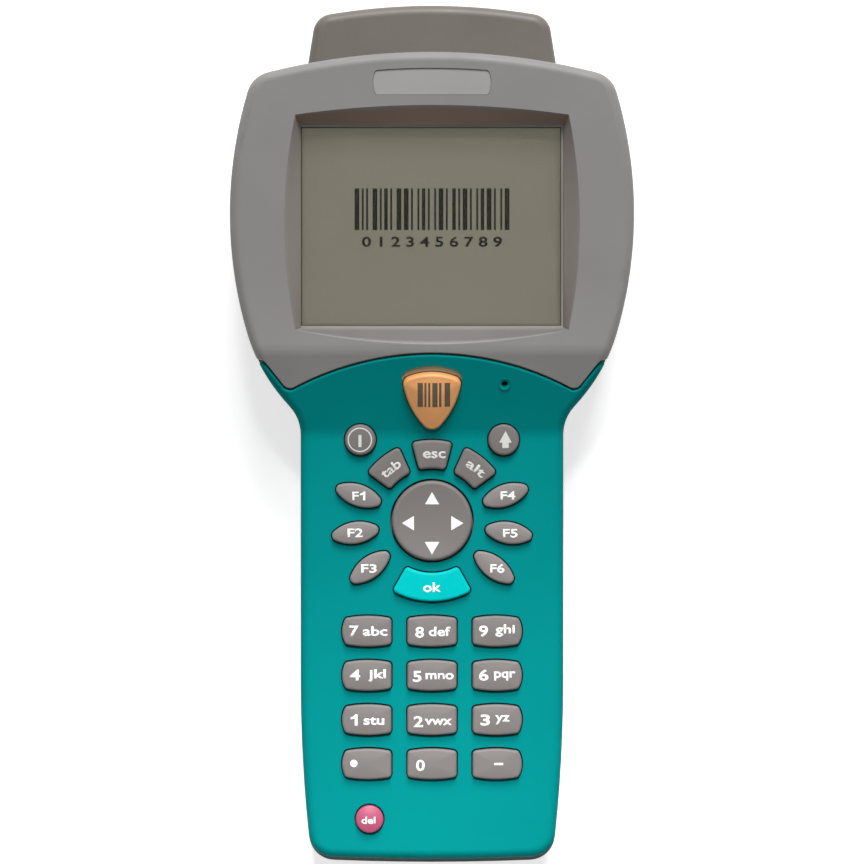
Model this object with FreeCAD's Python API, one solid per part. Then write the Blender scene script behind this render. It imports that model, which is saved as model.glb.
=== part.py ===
"""Hand-held barcode data terminal, lying on its back with the keys up.

+Z is up from the rest plane, +Y runs from the grip to the scan head and +X is to the right of
somebody who reads the display. The origin is on the rest plane, under the centre of the outline.
All sizes are millimetres and all angles are degrees.
"""
import FreeCAD, Part
import os
from math import atan2, cos, degrees, radians, sin, sqrt, tan
from FreeCAD import Placement, Rotation, Vector

# Outline of the case, seen from the front
LENGTH = 215.8
HEAD_HALF_WIDTH = 50.6
HEAD_WIDEST_Y = 55.2
HEAD_SIDE_RADIUS = 106.0
HEAD_TOP_RADIUS = 168.0
HEAD_CORNER_RADIUS = 7.5
SHOULDER_RADIUS = 45.0
SHOULDER_START = 16.5
SHOULDER_END = 43.0
GRIP_HALF_WIDTH = 33.2
GRIP_TAPER_RADIUS = 360.0
GRIP_TAPER_Y = -62.0
GRIP_END_RADIUS = 600.0
GRIP_CORNER_RADIUS = 6.5
END_Y = -LENGTH / 2

# Side profile of the case
PARTING_Z = 20.0
GRIP_FRONT_Z = 30.0
HEAD_FRONT_Z = 37.0
NECK_TOP_Y = 21.0
NECK_FOOT_Y = 0.2
NECK_TOP_RADIUS = 8.0
NECK_FOOT_RADIUS = 10.0
WALL = 2.2
BACK_EDGE_RADIUS = 6.0
FRONT_EDGE_RADIUS = 2.4
FRONT_INSET = 0.3
END_STEP = 1.4
SEAM_GAP = 0.1

# Line between the grey bezel and the coloured grip shell
BREAK_CROWN_Y = 20.4
BREAK_RADIUS = 73.5
BREAK_VEE_X = 34.3
BREAK_VEE_RADIUS = 2.2
BREAK_CLIMB = 52.0
BREAK_CLIMB_LENGTH = 6.5
BREAK_SHOULDER_RADIUS = 3.5
BREAK_END_SLOPE = 5.0
BREAK_GAP = 0.4
GRIP_BREAK_EDGE = 0.5
BEZEL_BREAK_EDGE = 0.3
LIP_WIDTH = 1.8
LIP_THICKNESS = 1.1

# Scan head at the far end
SCAN_REACH = 12.3
SCAN_TOP_RADIUS = 155.0
SCAN_CORNER_RADIUS = 5.0
SCAN_CORNER_X = 24.9
SCAN_ROOT_X = 33.2
SCAN_ROOT_DEPTH = 15.6
SCAN_ROOT_RADIUS = 4.0
SCAN_LOW_Z = 3.5
SCAN_HIGH_Z = 27.5
SCAN_EDGE_RADIUS = 2.4
SCAN_WALL = 2.0
SCAN_OPENING_X = 21.5
SCAN_OPENING_LOW = 7.4
SCAN_OPENING_HIGH = 19.4
SCAN_OPENING_CORNER = 2.0
SCAN_GLASS = 1.5
SCAN_GLASS_LAP = 1.4
HEAD_TOP_Y = LENGTH / 2 - SCAN_REACH
DUCT_X = 25.0
DUCT_LOW = 6.6
DUCT_HIGH = 18.6

# Display
WINDOW_X = 65.3
WINDOW_Y = 50.4
WINDOW_BELOW_TOP = 43.6
RECESS_DEPTH = 3.6
RECESS_MARGIN_X = 1.3
RECESS_MARGIN_TOP = 2.3
RECESS_MARGIN_LOW = 0.7
RECESS_BULGE_X = 2.7
RECESS_BULGE_TOP = 2.4
RECESS_BULGE_LOW = 3.6
RECESS_RIM = 0.6
LENS_THICKNESS = 1.5
LENS_LAP = 2.1
LENS_GAP = 0.2
SEAT_WIDTH = 1.5
GASKET_THICKNESS = 0.6
LCD_THICKNESS = 1.8
LIGHT_THICKNESS = 2.4
LCD_FRAME_WALL = 0.7
FIT_GAP = 0.1

# Name badge, left bare
BADGE_X = 28.4
BADGE_Y = 6.0
BADGE_BELOW_TOP = 8.1
BADGE_DEPTH = 0.6
BADGE_PLATE = 0.3
BADGE_CORNER = 0.8
BADGE_ARCH = 0.5
BADGE_SIDE_ARCH = 0.4

# Boards and the keypad stack, from the back to the front
BOARD_Z = 21.6
BOARD_THICKNESS = 1.6
BOARD_TOP = BOARD_Z + BOARD_THICKNESS
MAT_THICKNESS = 1.4
KEY_TRAVEL = 1.2
KEY_RISE = 1.6
KEY_GAP = 0.3
FLANGE_LAP = 0.9
FLANGE_THICKNESS = 1.0
FLANGE_GAP = 0.2
STEM_RADIUS = 1.5
STEM_STOP = 0.2
STEM_CLEARANCE = 0.6
KEY_EDGE_RADIUS = 0.7

# Round control in the middle of the keypad
DISC_Y = -21.4
DISC_RADIUS = 10.0
DISC_GAP = 0.5
DISC_TILT = 4.0
DISC_FLANGE_RADIUS = 11.2
DISC_FLANGE_THICKNESS = 0.8
DISC_DISH = 0.5
DISC_DISH_RADIUS = 9.0
DISC_EDGE_RADIUS = 0.8
PIVOT_RADIUS = 2.0
PIVOT_CLEARANCE = 0.3
PIVOT_SEAT_GAP = 0.3
PIVOT_POST_RADIUS = 2.6

# Keys round the disc
RING_INNER = 13.0
RING_OUTER = 20.2
RING_CORNER = 1.0
MAT_CORNER = 3 * RING_CORNER
RING_KEY_SPREAD = 14.7
RING_KEY_STEP = 38.8
OK_SPREAD = 29.5
FUNCTION_RADIUS = 19.4
FUNCTION_ANGLES = (161.0, 189.0, 217.0, 19.0, -9.0, -37.0)
FUNCTION_LENGTH = 11.8
FUNCTION_WIDTH = 5.5
FUNCTION_END_RADIUS = 1.4
ROUND_KEY_X = 17.9
ROUND_KEY_Y = -1.2
ROUND_KEY_RADIUS = 3.9

# Number keys and the round key under them
NUMBER_X = 12.4
NUMBER_Y = 7.8
NUMBER_PITCH_X = 16.3
NUMBER_PITCH_Y = 11.05
NUMBER_TOP_Y = -49.0
NUMBER_CORNER = 1.0
NUMBER_ARCH = 0.45
NUMBER_SIDE_ARCH = 0.6
DELETE_X = -15.6
DELETE_Y = -95.9
DELETE_RADIUS = 3.5
NUMBER_ROWS = (("7", "8", "9"), ("4", "5", "6"), ("1", "2", "3"), ("dot", "0", "dash"))

# Scan key and sound hole on the sloping neck
SCAN_KEY_Y = 9.0
SCAN_KEY_HALF = 5.2
SCAN_KEY_HIGH = 3.9
SCAN_KEY_LOW = -4.9
SCAN_KEY_CORNER = 2.0
SCAN_KEY_TIP = 2.8
SCAN_KEY_TOP_BULGE = 15.5
SCAN_KEY_SIDE_BULGE = 22.0
SCAN_KEY_RISE = 1.8
SCAN_KEY_EDGE = 0.9
SCAN_KEY_SCALLOP = 1.4
SCAN_STEM_RADIUS = 2.5
SCAN_TOWER = 3 * SCAN_STEM_RADIUS
SCAN_STEM_LENGTH = 3.4
SOUND_HOLE_X = 18.1
SOUND_HOLE_V = 3.9
SOUND_HOLE_RADIUS = 0.8
BUZZER_RADIUS = 2.3
BUZZER_HEIGHT = 4.0

# Battery compartment in the back of the grip
CELL_RADIUS = 9.2
POLE_RADIUS = CELL_RADIUS / 3
SPRING_BUTTON_RADIUS = CELL_RADIUS / 5
CELL_LENGTH = 65.0
CELL_SPACING = 19.2
CELL_GAP = 0.3
BAY_END_GAP = 0.9
BAY_TOP_Y = -30.0
RIB = 1.4
BAY_RIB_TOP = 20.8
DOOR_LIP = 1.1
DOOR_TONGUE = 1.0
DOOR_COVER = 0.9
DOOR_RECESS = 0.15
DOOR_GAP = 0.2
DOOR_SLIP = 0.1
LEDGE = 1.2
LEDGE_WIDTH = 3.0
DOOR_GROOVES = 6
DOOR_GROOVE_PITCH = 2.2
DOOR_GROOVE_WIDTH = 1.0
DOOR_GROOVE_DEPTH = 0.5
DOOR_GROOVE_HALF = 9.0
CONTACT_THICKNESS = 0.5

# Fasteners: places are (x, y), given for the right-hand side
CASE_SCREWS = ((41.0, 79.0), (41.0, 31.0), (27.6, -8.0), (26.0, -98.0))
SCREW_RADIUS = 1.25
SCREW_HEAD_RADIUS = 2.2
SCREW_HEAD_HEIGHT = 1.8
SCREW_SINK = 3.6
SCREW_LENGTH = 22.5
SCREW_FIT = 0.05
SCREW_HOLE_GAP = 0.2
BOSS_RADIUS = 2.9
BOSS_GAP = 0.5
BOARD_SCREWS = ((36.0, 86.0), (41.0, 55.0), (27.0, -42.0), (25.4, -90.0))
BOARD_SCREW_RADIUS = 1.0
BOARD_SCREW_HEAD_RADIUS = 1.9
BOARD_SCREW_HEAD = 1.2
BOARD_SCREW_LENGTH = 7.0
CROSS_WIDTH = 0.5
CROSS_LENGTH = 2.2
CROSS_DEPTH = 0.8

# Boards seen from the front
BOARD_INSET = 3.6
MAIN_BOARD_LOW = 14.5
MAIN_BOARD_HIGH = 91.0
KEYPAD_BOARD_LOW = -102.0
KEYPAD_BOARD_HIGH = 13.5
MAT_HALF_WIDTH = 24.5
MAT_LOW = -101.0
MAT_HIGH = 3.5

# Smaller electronics
FLEX_THICKNESS = 0.3
FLEX_WIDTH = 24.0
SOCKET_HEIGHT = 1.8
SOCKET_DEPTH = 4.0
LCD_FLEX_WIDTH = 30.0
RADIO_X = 26.0
RADIO_Y = 18.0
RADIO_HEIGHT = 2.8
RADIO_PLACE = (-24.0, 73.4)
SHIELD_X = 32.0
SHIELD_Y = 26.0
SHIELD_HEIGHT = 2.6
SHIELD_PLACE = (14.0, 50.0)
SHIELD_WALL = 0.4
ANTENNA_X = 30.0
ANTENNA_Y = 5.0
ANTENNA_HEIGHT = 0.8
ANTENNA_PLACE = (16.0, 86.0)
COIN_RADIUS = 6.2
COIN_HEIGHT = 2.0
COIN_PLACE = (-27.0, 52.0)
DOCK_X = 17.0
DOCK_Z_LOW = 8.0
DOCK_Z_HIGH = 14.6
DOCK_DEPTH = 6.0
DOCK_SET_BACK = 1.2
DOCK_SLOT_X = 12.6
DOCK_SLOT_Z = 2.8
DOCK_SLOT_DEPTH = 3.0
DOCK_PINS = 8
DOCK_PIN_PITCH = 1.4
DOCK_PIN = 0.6

# Scan engine
ENGINE_X = 26.0
ENGINE_BACK = 80.0
ENGINE_FRONT = 99.0
ENGINE_LOW = 8.0
ENGINE_HIGH = 17.8
CHAMBER_X = 18.0
CHAMBER_DEPTH = 9.0
CHAMBER_FLOOR = 1.8
MIRROR_X = 9.0
MIRROR_THICKNESS = 0.8
MIRROR_EDGE_GAP = 1.2
MIRROR_PIN_RADIUS = 0.5
MIRROR_PIN_GAP = 0.1
BRACKET_THICKNESS = 1.0
BRACKET_EAR = 5.0
BRACKET_EAR_RISE = 6.0
POST_RADIUS = 2.6
POST_INSET = 4.5

# Seal between the shells
SEAL_OUTER = 0.85
SEAL_WIDTH = 0.7
SEAL_DEPTH = 0.8
SEAL_SLACK = 0.05

# Label recess on the back, left bare
LABEL_X = 44.0
LABEL_Y = 26.0
LABEL_PLACE_Y = 50.0
LABEL_DEPTH = 0.4
LABEL_CORNER = 2.0

# A block beyond every side of the object, for cutting
BEYOND = 150.0
SHORT_REACH = BEYOND / 10
EDGE_LEVEL = 0.02
EDGE_LEAN = 0.5

# Levels and places that follow from the sizes above
NECK_SLOPE = degrees(atan2(HEAD_FRONT_Z - GRIP_FRONT_Z, NECK_TOP_Y - NECK_FOOT_Y))
GRIP_INNER_Z = GRIP_FRONT_Z - WALL
KEY_TOP = GRIP_FRONT_Z + KEY_RISE
FLANGE_TOP = GRIP_INNER_Z - FLANGE_GAP
FLANGE_LOW = FLANGE_TOP - FLANGE_THICKNESS
STEM_LOW = BOARD_TOP + KEY_TRAVEL + STEM_STOP
MAT_TOP = BOARD_TOP + MAT_THICKNESS
WINDOW_CENTRE_Y = HEAD_TOP_Y - WINDOW_BELOW_TOP
WINDOW_Z = HEAD_FRONT_Z - RECESS_DEPTH
LENS_TOP = WINDOW_Z - RECESS_RIM
LENS_LOW = LENS_TOP - LENS_THICKNESS
LENS_X = WINDOW_X + 2 * LENS_LAP
LENS_Y = WINDOW_Y + 2 * LENS_LAP
SEAT_X = LENS_X + 2 * SEAT_WIDTH
SEAT_Y = LENS_Y + 2 * SEAT_WIDTH
LCD_TOP = LENS_LOW - GASKET_THICKNESS
LCD_LOW = LCD_TOP - LCD_THICKNESS
LIGHT_LOW = LCD_LOW - LIGHT_THICKNESS
LCD_X = SEAT_X - 2 * LCD_FRAME_WALL - 2 * FIT_GAP
LCD_Y = SEAT_Y - 2 * LCD_FRAME_WALL - 2 * FIT_GAP
BAY_HALF_X = CELL_SPACING / 2 + CELL_RADIUS + 2 * CELL_GAP
BAY_LOW_Y = BAY_TOP_Y - CELL_LENGTH - 2 * BAY_END_GAP
CELL_Z = WALL + CELL_GAP + CELL_RADIUS
DOOR_HALF_X = BAY_HALF_X + DOOR_COVER
DOOR_TOP_Y = BAY_TOP_Y + LEDGE_WIDTH


def box(low, high):
    """Block between two corners."""
    return Part.makeBox(high[0] - low[0], high[1] - low[1], high[2] - low[2], Vector(*low))


def block(x, y, size_x, size_y, low, high):
    """Upright block centred on (x, y)."""
    return box((x - size_x / 2, y - size_y / 2, low), (x + size_x / 2, y + size_y / 2, high))


def rod(x, y, radius, low, high):
    """Upright cylinder."""
    return Part.makeCylinder(radius, high - low, Vector(x, y, low))


def prism(wire, low, high):
    """The inside of a flat closed wire at z = 0, made solid between two levels."""
    face = Part.Face(wire)
    face.translate(Vector(0, 0, low))
    return face.extrude(Vector(0, 0, high - low))


def united(shapes):
    """All the shapes as one."""
    return shapes[0].multiFuse(shapes[1:]).removeSplitter()


def both_sides(places):
    """Each (x, y) place and its mirror image across the centre plane."""
    return [(side * x, y) for x, y in places for side in (1, -1)]


def mirrored(shape):
    """The shape's image across the centre plane."""
    return shape.mirror(Vector(0, 0, 0), Vector(1, 0, 0))


def arc(centre, radius, start, end):
    """Arc edge round a centre, from one bearing to another."""
    points = []
    for bearing in (start, (start + end) / 2, end):
        x = centre[0] + radius * cos(radians(bearing))
        y = centre[1] + radius * sin(radians(bearing))
        points.append(Vector(x, y, 0))
    return Part.Arc(*points).toShape()


def bearing(start, end):
    """Direction from one point to another."""
    return degrees(atan2(end[1] - start[1], end[0] - start[0]))


def nested_centre(first, first_radius, second, second_radius, radius):
    """Right-hand centre of a circle that touches two larger circles from inside."""
    reach_1 = first_radius - radius
    reach_2 = second_radius - radius
    dx = second[0] - first[0]
    dy = second[1] - first[1]
    span = sqrt(dx * dx + dy * dy)
    along = (reach_1 ** 2 - reach_2 ** 2 + span ** 2) / (2 * span)
    across = sqrt(reach_1 ** 2 - along ** 2)
    centres = []
    for side in (1, -1):
        x = first[0] + (dx * along + side * dy * across) / span
        y = first[1] + (dy * along - side * dx * across) / span
        centres.append((x, y))
    return max(centres)


def bulge_radius(half_span, rise, radius):
    """Radius of the arc that joins two equal circles and passes rise beyond their centres."""
    return (half_span ** 2 + rise ** 2 - radius ** 2) / (2 * (rise - radius))


def blended(centres, radii, bulges, grow=0.0):
    """Closed outline, anticlockwise round circles that tangent arcs or straight runs join.

    A bulge is the radius of the arc to the next circle: positive outwards, negative hollow,
    and None for a straight run. grow moves the whole outline outwards.
    """
    spots = [Vector(x, y, 0) for x, y in centres]
    count = len(spots)
    leave = [None] * count
    reach = [None] * count
    edges = []
    for i in range(count):
        j = (i + 1) % count
        along = spots[j] - spots[i]
        span = along.Length
        along = along / span
        outward = Vector(along.y, -along.x, 0)
        if bulges[i] is None:
            lean = (radii[i] - radii[j]) / span
            normal = along * lean + outward * sqrt(1 - lean * lean)
            leave[i] = spots[i] + normal * (radii[i] + grow)
            reach[j] = spots[j] + normal * (radii[j] + grow)
            edges.append(Part.LineSegment(leave[i], reach[j]).toShape())
            continue
        sign = 1 if bulges[i] > 0 else -1
        reach_1 = abs(bulges[i] - radii[i])
        reach_2 = abs(bulges[i] - radii[j])
        step = (reach_1 ** 2 - reach_2 ** 2 + span ** 2) / (2 * span)
        centre = spots[i] + along * step - outward * (sign * sqrt(reach_1 ** 2 - step ** 2))
        first = (spots[i] - centre) * (sign / reach_1)
        second = (spots[j] - centre) * (sign / reach_2)
        leave[i] = spots[i] + first * (radii[i] + grow)
        reach[j] = spots[j] + second * (radii[j] + grow)
        middle = (first + second).normalize() * (sign * abs(bulges[i]) + grow)
        edges.append(Part.Arc(leave[i], centre + middle, reach[j]).toShape())
    for i in range(count):
        middle = (reach[i] + leave[i] - spots[i] * 2).normalize() * (radii[i] + grow)
        edges.append(Part.Arc(reach[i], spots[i] + middle, leave[i]).toShape())
    return Part.Wire(Part.__sortEdges__(edges))


def rounded_box(x, y, size_x, size_y, corner, low, high):
    """Upright block with rounded upright edges, centred on (x, y)."""
    half_x = size_x / 2 - corner
    half_y = size_y / 2 - corner
    centres = [(x - half_x, y - half_y), (x + half_x, y - half_y),
               (x + half_x, y + half_y), (x - half_x, y + half_y)]
    return prism(blended(centres, [corner] * 4, [None] * 4), low, high)


def edges_where(solid, test):
    """Edges whose middle point and neighbouring face normals pass a test."""
    chosen = []
    for edge in solid.Edges:
        point = edge.valueAt((edge.FirstParameter + edge.LastParameter) / 2)
        normals = []
        for face in solid.ancestorsOfType(edge, Part.Face):
            u, v = face.Surface.parameter(point)
            normals.append(face.normalAt(u, v))
        if len(normals) == 2 and test(point, normals[0], normals[1]):
            chosen.append(edge)
    return chosen


def is_upper_rim(point, first, second):
    """True where an upright wall meets a surface that faces up."""
    lower, upper = sorted((first.z, second.z))
    return abs(lower) < EDGE_LEVEL and upper > EDGE_LEAN


def is_lower_rim(point, first, second):
    """True where an upright wall meets a surface that faces down."""
    lower, upper = sorted((first.z, second.z))
    return abs(upper) < EDGE_LEVEL and lower < -EDGE_LEAN


def case_outline(inset, end_y=END_Y):
    """Plan outline of the case, moved inwards by inset."""
    top = (0.0, HEAD_TOP_Y - HEAD_TOP_RADIUS)
    side = (HEAD_HALF_WIDTH - HEAD_SIDE_RADIUS, HEAD_WIDEST_Y)
    corner = nested_centre(top, HEAD_TOP_RADIUS, side, HEAD_SIDE_RADIUS, HEAD_CORNER_RADIUS)
    swing = HEAD_SIDE_RADIUS - SHOULDER_RADIUS
    shoulder = (side[0] + swing * cos(radians(SHOULDER_START)),
                side[1] - swing * sin(radians(SHOULDER_START)))
    turn = cos(radians(SHOULDER_END))
    neck_radius = (shoulder[0] + SHOULDER_RADIUS * turn - GRIP_HALF_WIDTH) / (1 - turn)
    swing = SHOULDER_RADIUS + neck_radius
    neck = (shoulder[0] + swing * turn, shoulder[1] - swing * sin(radians(SHOULDER_END)))
    taper = (GRIP_HALF_WIDTH - GRIP_TAPER_RADIUS, GRIP_TAPER_Y)
    end = (0.0, end_y + GRIP_END_RADIUS)
    foot = nested_centre(taper, GRIP_TAPER_RADIUS, end, GRIP_END_RADIUS, GRIP_CORNER_RADIUS)
    side_x = GRIP_HALF_WIDTH - inset
    straight = Part.LineSegment(Vector(side_x, neck[1], 0), Vector(side_x, GRIP_TAPER_Y, 0))
    edges = [
        arc(top, HEAD_TOP_RADIUS - inset, 90, bearing(top, corner)),
        arc(corner, HEAD_CORNER_RADIUS - inset, bearing(top, corner), bearing(side, corner)),
        arc(side, HEAD_SIDE_RADIUS - inset, bearing(side, corner), -SHOULDER_START),
        arc(shoulder, SHOULDER_RADIUS - inset, -SHOULDER_START, -SHOULDER_END),
        arc(neck, neck_radius + inset, 180 - SHOULDER_END, 180),
        straight.toShape(),
        arc(taper, GRIP_TAPER_RADIUS - inset, 0, bearing(taper, foot)),
        arc(foot, GRIP_CORNER_RADIUS - inset, bearing(taper, foot), bearing(end, foot)),
        arc(end, GRIP_END_RADIUS - inset, bearing(end, foot), -90),
    ]
    return Part.Wire(Part.__sortEdges__(edges + [mirrored(edge) for edge in edges]))


def side_profile(depth):
    """Everything below the front surface, lowered by depth, as wide as the cutting block."""
    shift = depth * tan(radians(NECK_SLOPE / 2))
    slope = radians(NECK_SLOPE)
    head_z = HEAD_FRONT_Z - depth
    grip_z = GRIP_FRONT_Z - depth

    def bend(y, z, radius):
        """Three points of the arc that rounds the corner at (y, z)."""
        side = 1 if radius > 0 else -1
        reach = abs(radius) * tan(slope / 2)
        centre_y = y + reach if side > 0 else y - reach
        points = []
        for share in (0, 0.5, 1):
            angle = slope * (share if side > 0 else 1 - share)
            px = centre_y - radius * sin(angle)
            pz = z - radius + radius * cos(angle)
            points.append(Vector(0, px, pz))
        return points

    top = bend(NECK_TOP_Y + shift, head_z, NECK_TOP_RADIUS - depth)
    foot = bend(NECK_FOOT_Y + shift, grip_z, -(NECK_FOOT_RADIUS + depth))
    corners = [Vector(0, -BEYOND, grip_z), Vector(0, -BEYOND, -BEYOND),
               Vector(0, BEYOND, -BEYOND), Vector(0, BEYOND, head_z)]
    edges = [Part.Arc(*top).toShape(), Part.Arc(*foot).toShape()]
    path = [top[2], foot[0]]
    edges.append(Part.LineSegment(*path).toShape())
    path = [foot[2]] + corners + [top[0]]
    for start, end in zip(path, path[1:]):
        edges.append(Part.LineSegment(start, end).toShape())
    face = Part.Face(Part.Wire(Part.__sortEdges__(edges)))
    face.translate(Vector(-BEYOND, 0, 0))
    return face.extrude(Vector(2 * BEYOND, 0, 0))


def front_block(inset, depth, low=PARTING_Z):
    """Solid under the front surface: the outline and the surface both moved inwards."""
    outline = case_outline(FRONT_INSET + inset, END_Y + END_STEP)
    return prism(outline, low, HEAD_FRONT_Z + WALL).common(side_profile(depth))


def bezel_region(shift=0.0):
    """Everything on the head's side of the line between bezel and grip shell."""
    angle = degrees(atan2(BREAK_VEE_X, sqrt(BREAK_RADIUS ** 2 - BREAK_VEE_X ** 2)))
    centre = (0.0, BREAK_CROWN_Y + shift - BREAK_RADIUS)
    edges = [arc(centre, BREAK_RADIUS, 90, 90 - angle)]
    reach = BREAK_RADIUS + BREAK_VEE_RADIUS
    vee = (reach * sin(radians(angle)), centre[1] + reach * cos(radians(angle)))
    edges.append(arc(vee, BREAK_VEE_RADIUS, 270 - angle, 270 + BREAK_CLIMB))
    climb = radians(BREAK_CLIMB)
    x = vee[0] + BREAK_VEE_RADIUS * sin(climb)
    y = vee[1] - BREAK_VEE_RADIUS * cos(climb)
    start = Vector(x, y, 0)
    end = start + Vector(cos(climb), sin(climb), 0) * BREAK_CLIMB_LENGTH
    edges.append(Part.LineSegment(start, end).toShape())
    crest = (end.x + BREAK_SHOULDER_RADIUS * sin(climb), end.y - BREAK_SHOULDER_RADIUS * cos(climb))
    edges.append(arc(crest, BREAK_SHOULDER_RADIUS, 90 + BREAK_CLIMB, 90 + BREAK_END_SLOPE))
    slope = radians(BREAK_END_SLOPE)
    start = Vector(crest[0] - BREAK_SHOULDER_RADIUS * sin(slope),
                   crest[1] + BREAK_SHOULDER_RADIUS * cos(slope), 0)
    end = Vector(BEYOND, start.y + (BEYOND - start.x) * tan(slope), 0)
    edges.append(Part.LineSegment(start, end).toShape())
    edges.append(Part.LineSegment(end, Vector(BEYOND, BEYOND, 0)).toShape())
    edges.append(Part.LineSegment(Vector(BEYOND, BEYOND, 0), Vector(0, BEYOND, 0)).toShape())
    wire = Part.Wire(Part.__sortEdges__(edges + [mirrored(edge) for edge in edges]))
    return prism(wire, -BEYOND, BEYOND)


def scan_outline(grow):
    """Plan outline of the scan head cover."""
    inner = SCAN_TOP_RADIUS - SCAN_CORNER_RADIUS
    high = LENGTH / 2 - SCAN_TOP_RADIUS + sqrt(inner ** 2 - SCAN_CORNER_X ** 2)
    low = HEAD_TOP_Y - SCAN_ROOT_DEPTH
    root_x = SCAN_ROOT_X - SCAN_ROOT_RADIUS
    centres = [(-root_x, low), (root_x, low), (SCAN_CORNER_X, high), (-SCAN_CORNER_X, high)]
    radii = [SCAN_ROOT_RADIUS, SCAN_ROOT_RADIUS, SCAN_CORNER_RADIUS, SCAN_CORNER_RADIUS]
    return blended(centres, radii, [None, None, SCAN_TOP_RADIUS, None], grow)


def duct():
    """Opening from the case into the scan head."""
    return box((-DUCT_X, HEAD_TOP_Y - SHORT_REACH, DUCT_LOW), (DUCT_X, HEAD_TOP_Y + 1, DUCT_HIGH))


def on_neck(shape):
    """Moves a shape from the plane z = 0 onto the sloping neck, at the scan key."""
    height = GRIP_FRONT_Z + (SCAN_KEY_Y - NECK_FOOT_Y) * tan(radians(NECK_SLOPE))
    tilt = Rotation(Vector(1, 0, 0), NECK_SLOPE)
    moved = shape.copy()
    moved.Placement = Placement(Vector(0, SCAN_KEY_Y, height), tilt).multiply(moved.Placement)
    return moved


def scan_key_outline(grow, scallop=0.0):
    """Plectrum shape of the scan key; scallop lifts only its top edge."""
    high = SCAN_KEY_HIGH + scallop
    centres = [(0, SCAN_KEY_LOW), (SCAN_KEY_HALF, high), (-SCAN_KEY_HALF, high)]
    radii = [SCAN_KEY_TIP, SCAN_KEY_CORNER, SCAN_KEY_CORNER]
    bulges = [SCAN_KEY_SIDE_BULGE, SCAN_KEY_TOP_BULGE, SCAN_KEY_SIDE_BULGE]
    return blended(centres, radii, bulges, grow)


def disc_outline(radius, grow):
    """Circle round (0, 0)."""
    return Part.Wire(Part.makeCircle(radius + grow))


def function_outline(grow):
    """Lens shape that points along X."""
    half = FUNCTION_LENGTH / 2 - FUNCTION_END_RADIUS
    bulge = bulge_radius(half, FUNCTION_WIDTH / 2, FUNCTION_END_RADIUS)
    return blended([(-half, 0), (half, 0)], [FUNCTION_END_RADIUS] * 2, [bulge] * 2, grow)


def number_outline(grow, side):
    """Number key; its outer side is bowed in the left (-1) and right (1) columns."""
    half_x = NUMBER_X / 2 - NUMBER_CORNER
    half_y = NUMBER_Y / 2 - NUMBER_CORNER - NUMBER_ARCH
    left = -half_x + (NUMBER_SIDE_ARCH if side < 0 else 0)
    right = half_x - (NUMBER_SIDE_ARCH if side > 0 else 0)
    flat = bulge_radius((right - left) / 2, NUMBER_CORNER + NUMBER_ARCH, NUMBER_CORNER)
    bowed = bulge_radius(half_y, NUMBER_CORNER + NUMBER_SIDE_ARCH, NUMBER_CORNER)
    centres = [(left, -half_y), (right, -half_y), (right, half_y), (left, half_y)]
    bulges = [flat, bowed if side > 0 else None, flat, bowed if side < 0 else None]
    return blended(centres, [NUMBER_CORNER] * 4, bulges, grow)


def ring_outline(grow, spread):
    """Part of a ring round (0, 0), centred on +X."""
    corner = RING_CORNER
    outer = RING_OUTER - corner
    inner = RING_INNER + corner
    outer_angle = radians(spread) - corner / outer
    inner_angle = radians(spread) - corner / inner
    centres = []
    for reach, angle in ((outer, -outer_angle), (outer, outer_angle),
                         (inner, inner_angle), (inner, -inner_angle)):
        centres.append((reach * cos(angle), reach * sin(angle)))
    return blended(centres, [corner] * 4, [RING_OUTER, None, -RING_INNER, None], grow)


def placed(wire, x, y, angle=0.0):
    """The wire turned about the origin and moved to (x, y)."""
    moved = wire.copy()
    moved.Placement = Placement(Vector(x, y, 0), Rotation(Vector(0, 0, 1), angle))
    return moved


def key_table():
    """Every straight-travel key: name -> (outline function of grow, stem centre)."""
    keys = {}

    def add(name, outline, x, y, angle=0.0, stem=None):
        """Notes a key whose outline is drawn round the origin."""
        keys[name] = (lambda grow: placed(outline(grow), x, y, angle), stem or (x, y))

    add("power_key", lambda grow: disc_outline(ROUND_KEY_RADIUS, grow), -ROUND_KEY_X, ROUND_KEY_Y)
    add("shift_key", lambda grow: disc_outline(ROUND_KEY_RADIUS, grow), ROUND_KEY_X, ROUND_KEY_Y)
    ring_middle = (RING_INNER + RING_OUTER) / 2
    for name, angle, spread in (("esc_key", 90, RING_KEY_SPREAD),
                                ("tab_key", 90 + RING_KEY_STEP, RING_KEY_SPREAD),
                                ("alt_key", 90 - RING_KEY_STEP, RING_KEY_SPREAD),
                                ("ok_key", 270, OK_SPREAD)):
        stem = (ring_middle * cos(radians(angle)), DISC_Y + ring_middle * sin(radians(angle)))
        add(name, lambda grow, spread=spread: ring_outline(grow, spread), 0, DISC_Y, angle, stem)
    for number, angle in enumerate(FUNCTION_ANGLES, 1):
        x = FUNCTION_RADIUS * cos(radians(angle))
        y = DISC_Y + FUNCTION_RADIUS * sin(radians(angle))
        add("f%d_key" % number, function_outline, x, y, angle)
    for row, names in enumerate(NUMBER_ROWS):
        for column, name in enumerate(names):
            side = column - 1
            x = side * NUMBER_PITCH_X
            y = NUMBER_TOP_Y - row * NUMBER_PITCH_Y
            add("key_" + name, lambda grow, side=side: number_outline(grow, side), x, y)
    add("delete_key", lambda grow: disc_outline(DELETE_RADIUS, grow), DELETE_X, DELETE_Y)
    return keys


def key_solid(outline, stem):
    """Cap with softened top edges, flange under the shell and stem over its switch."""
    cap = prism(outline(0), FLANGE_LOW, KEY_TOP)
    cap = cap.makeFillet(KEY_EDGE_RADIUS, edges_where(cap, is_upper_rim))
    flange = prism(outline(FLANGE_LAP), FLANGE_LOW, FLANGE_TOP)
    return united([cap, flange, rod(stem[0], stem[1], STEM_RADIUS, STEM_LOW, FLANGE_LOW)])


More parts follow.
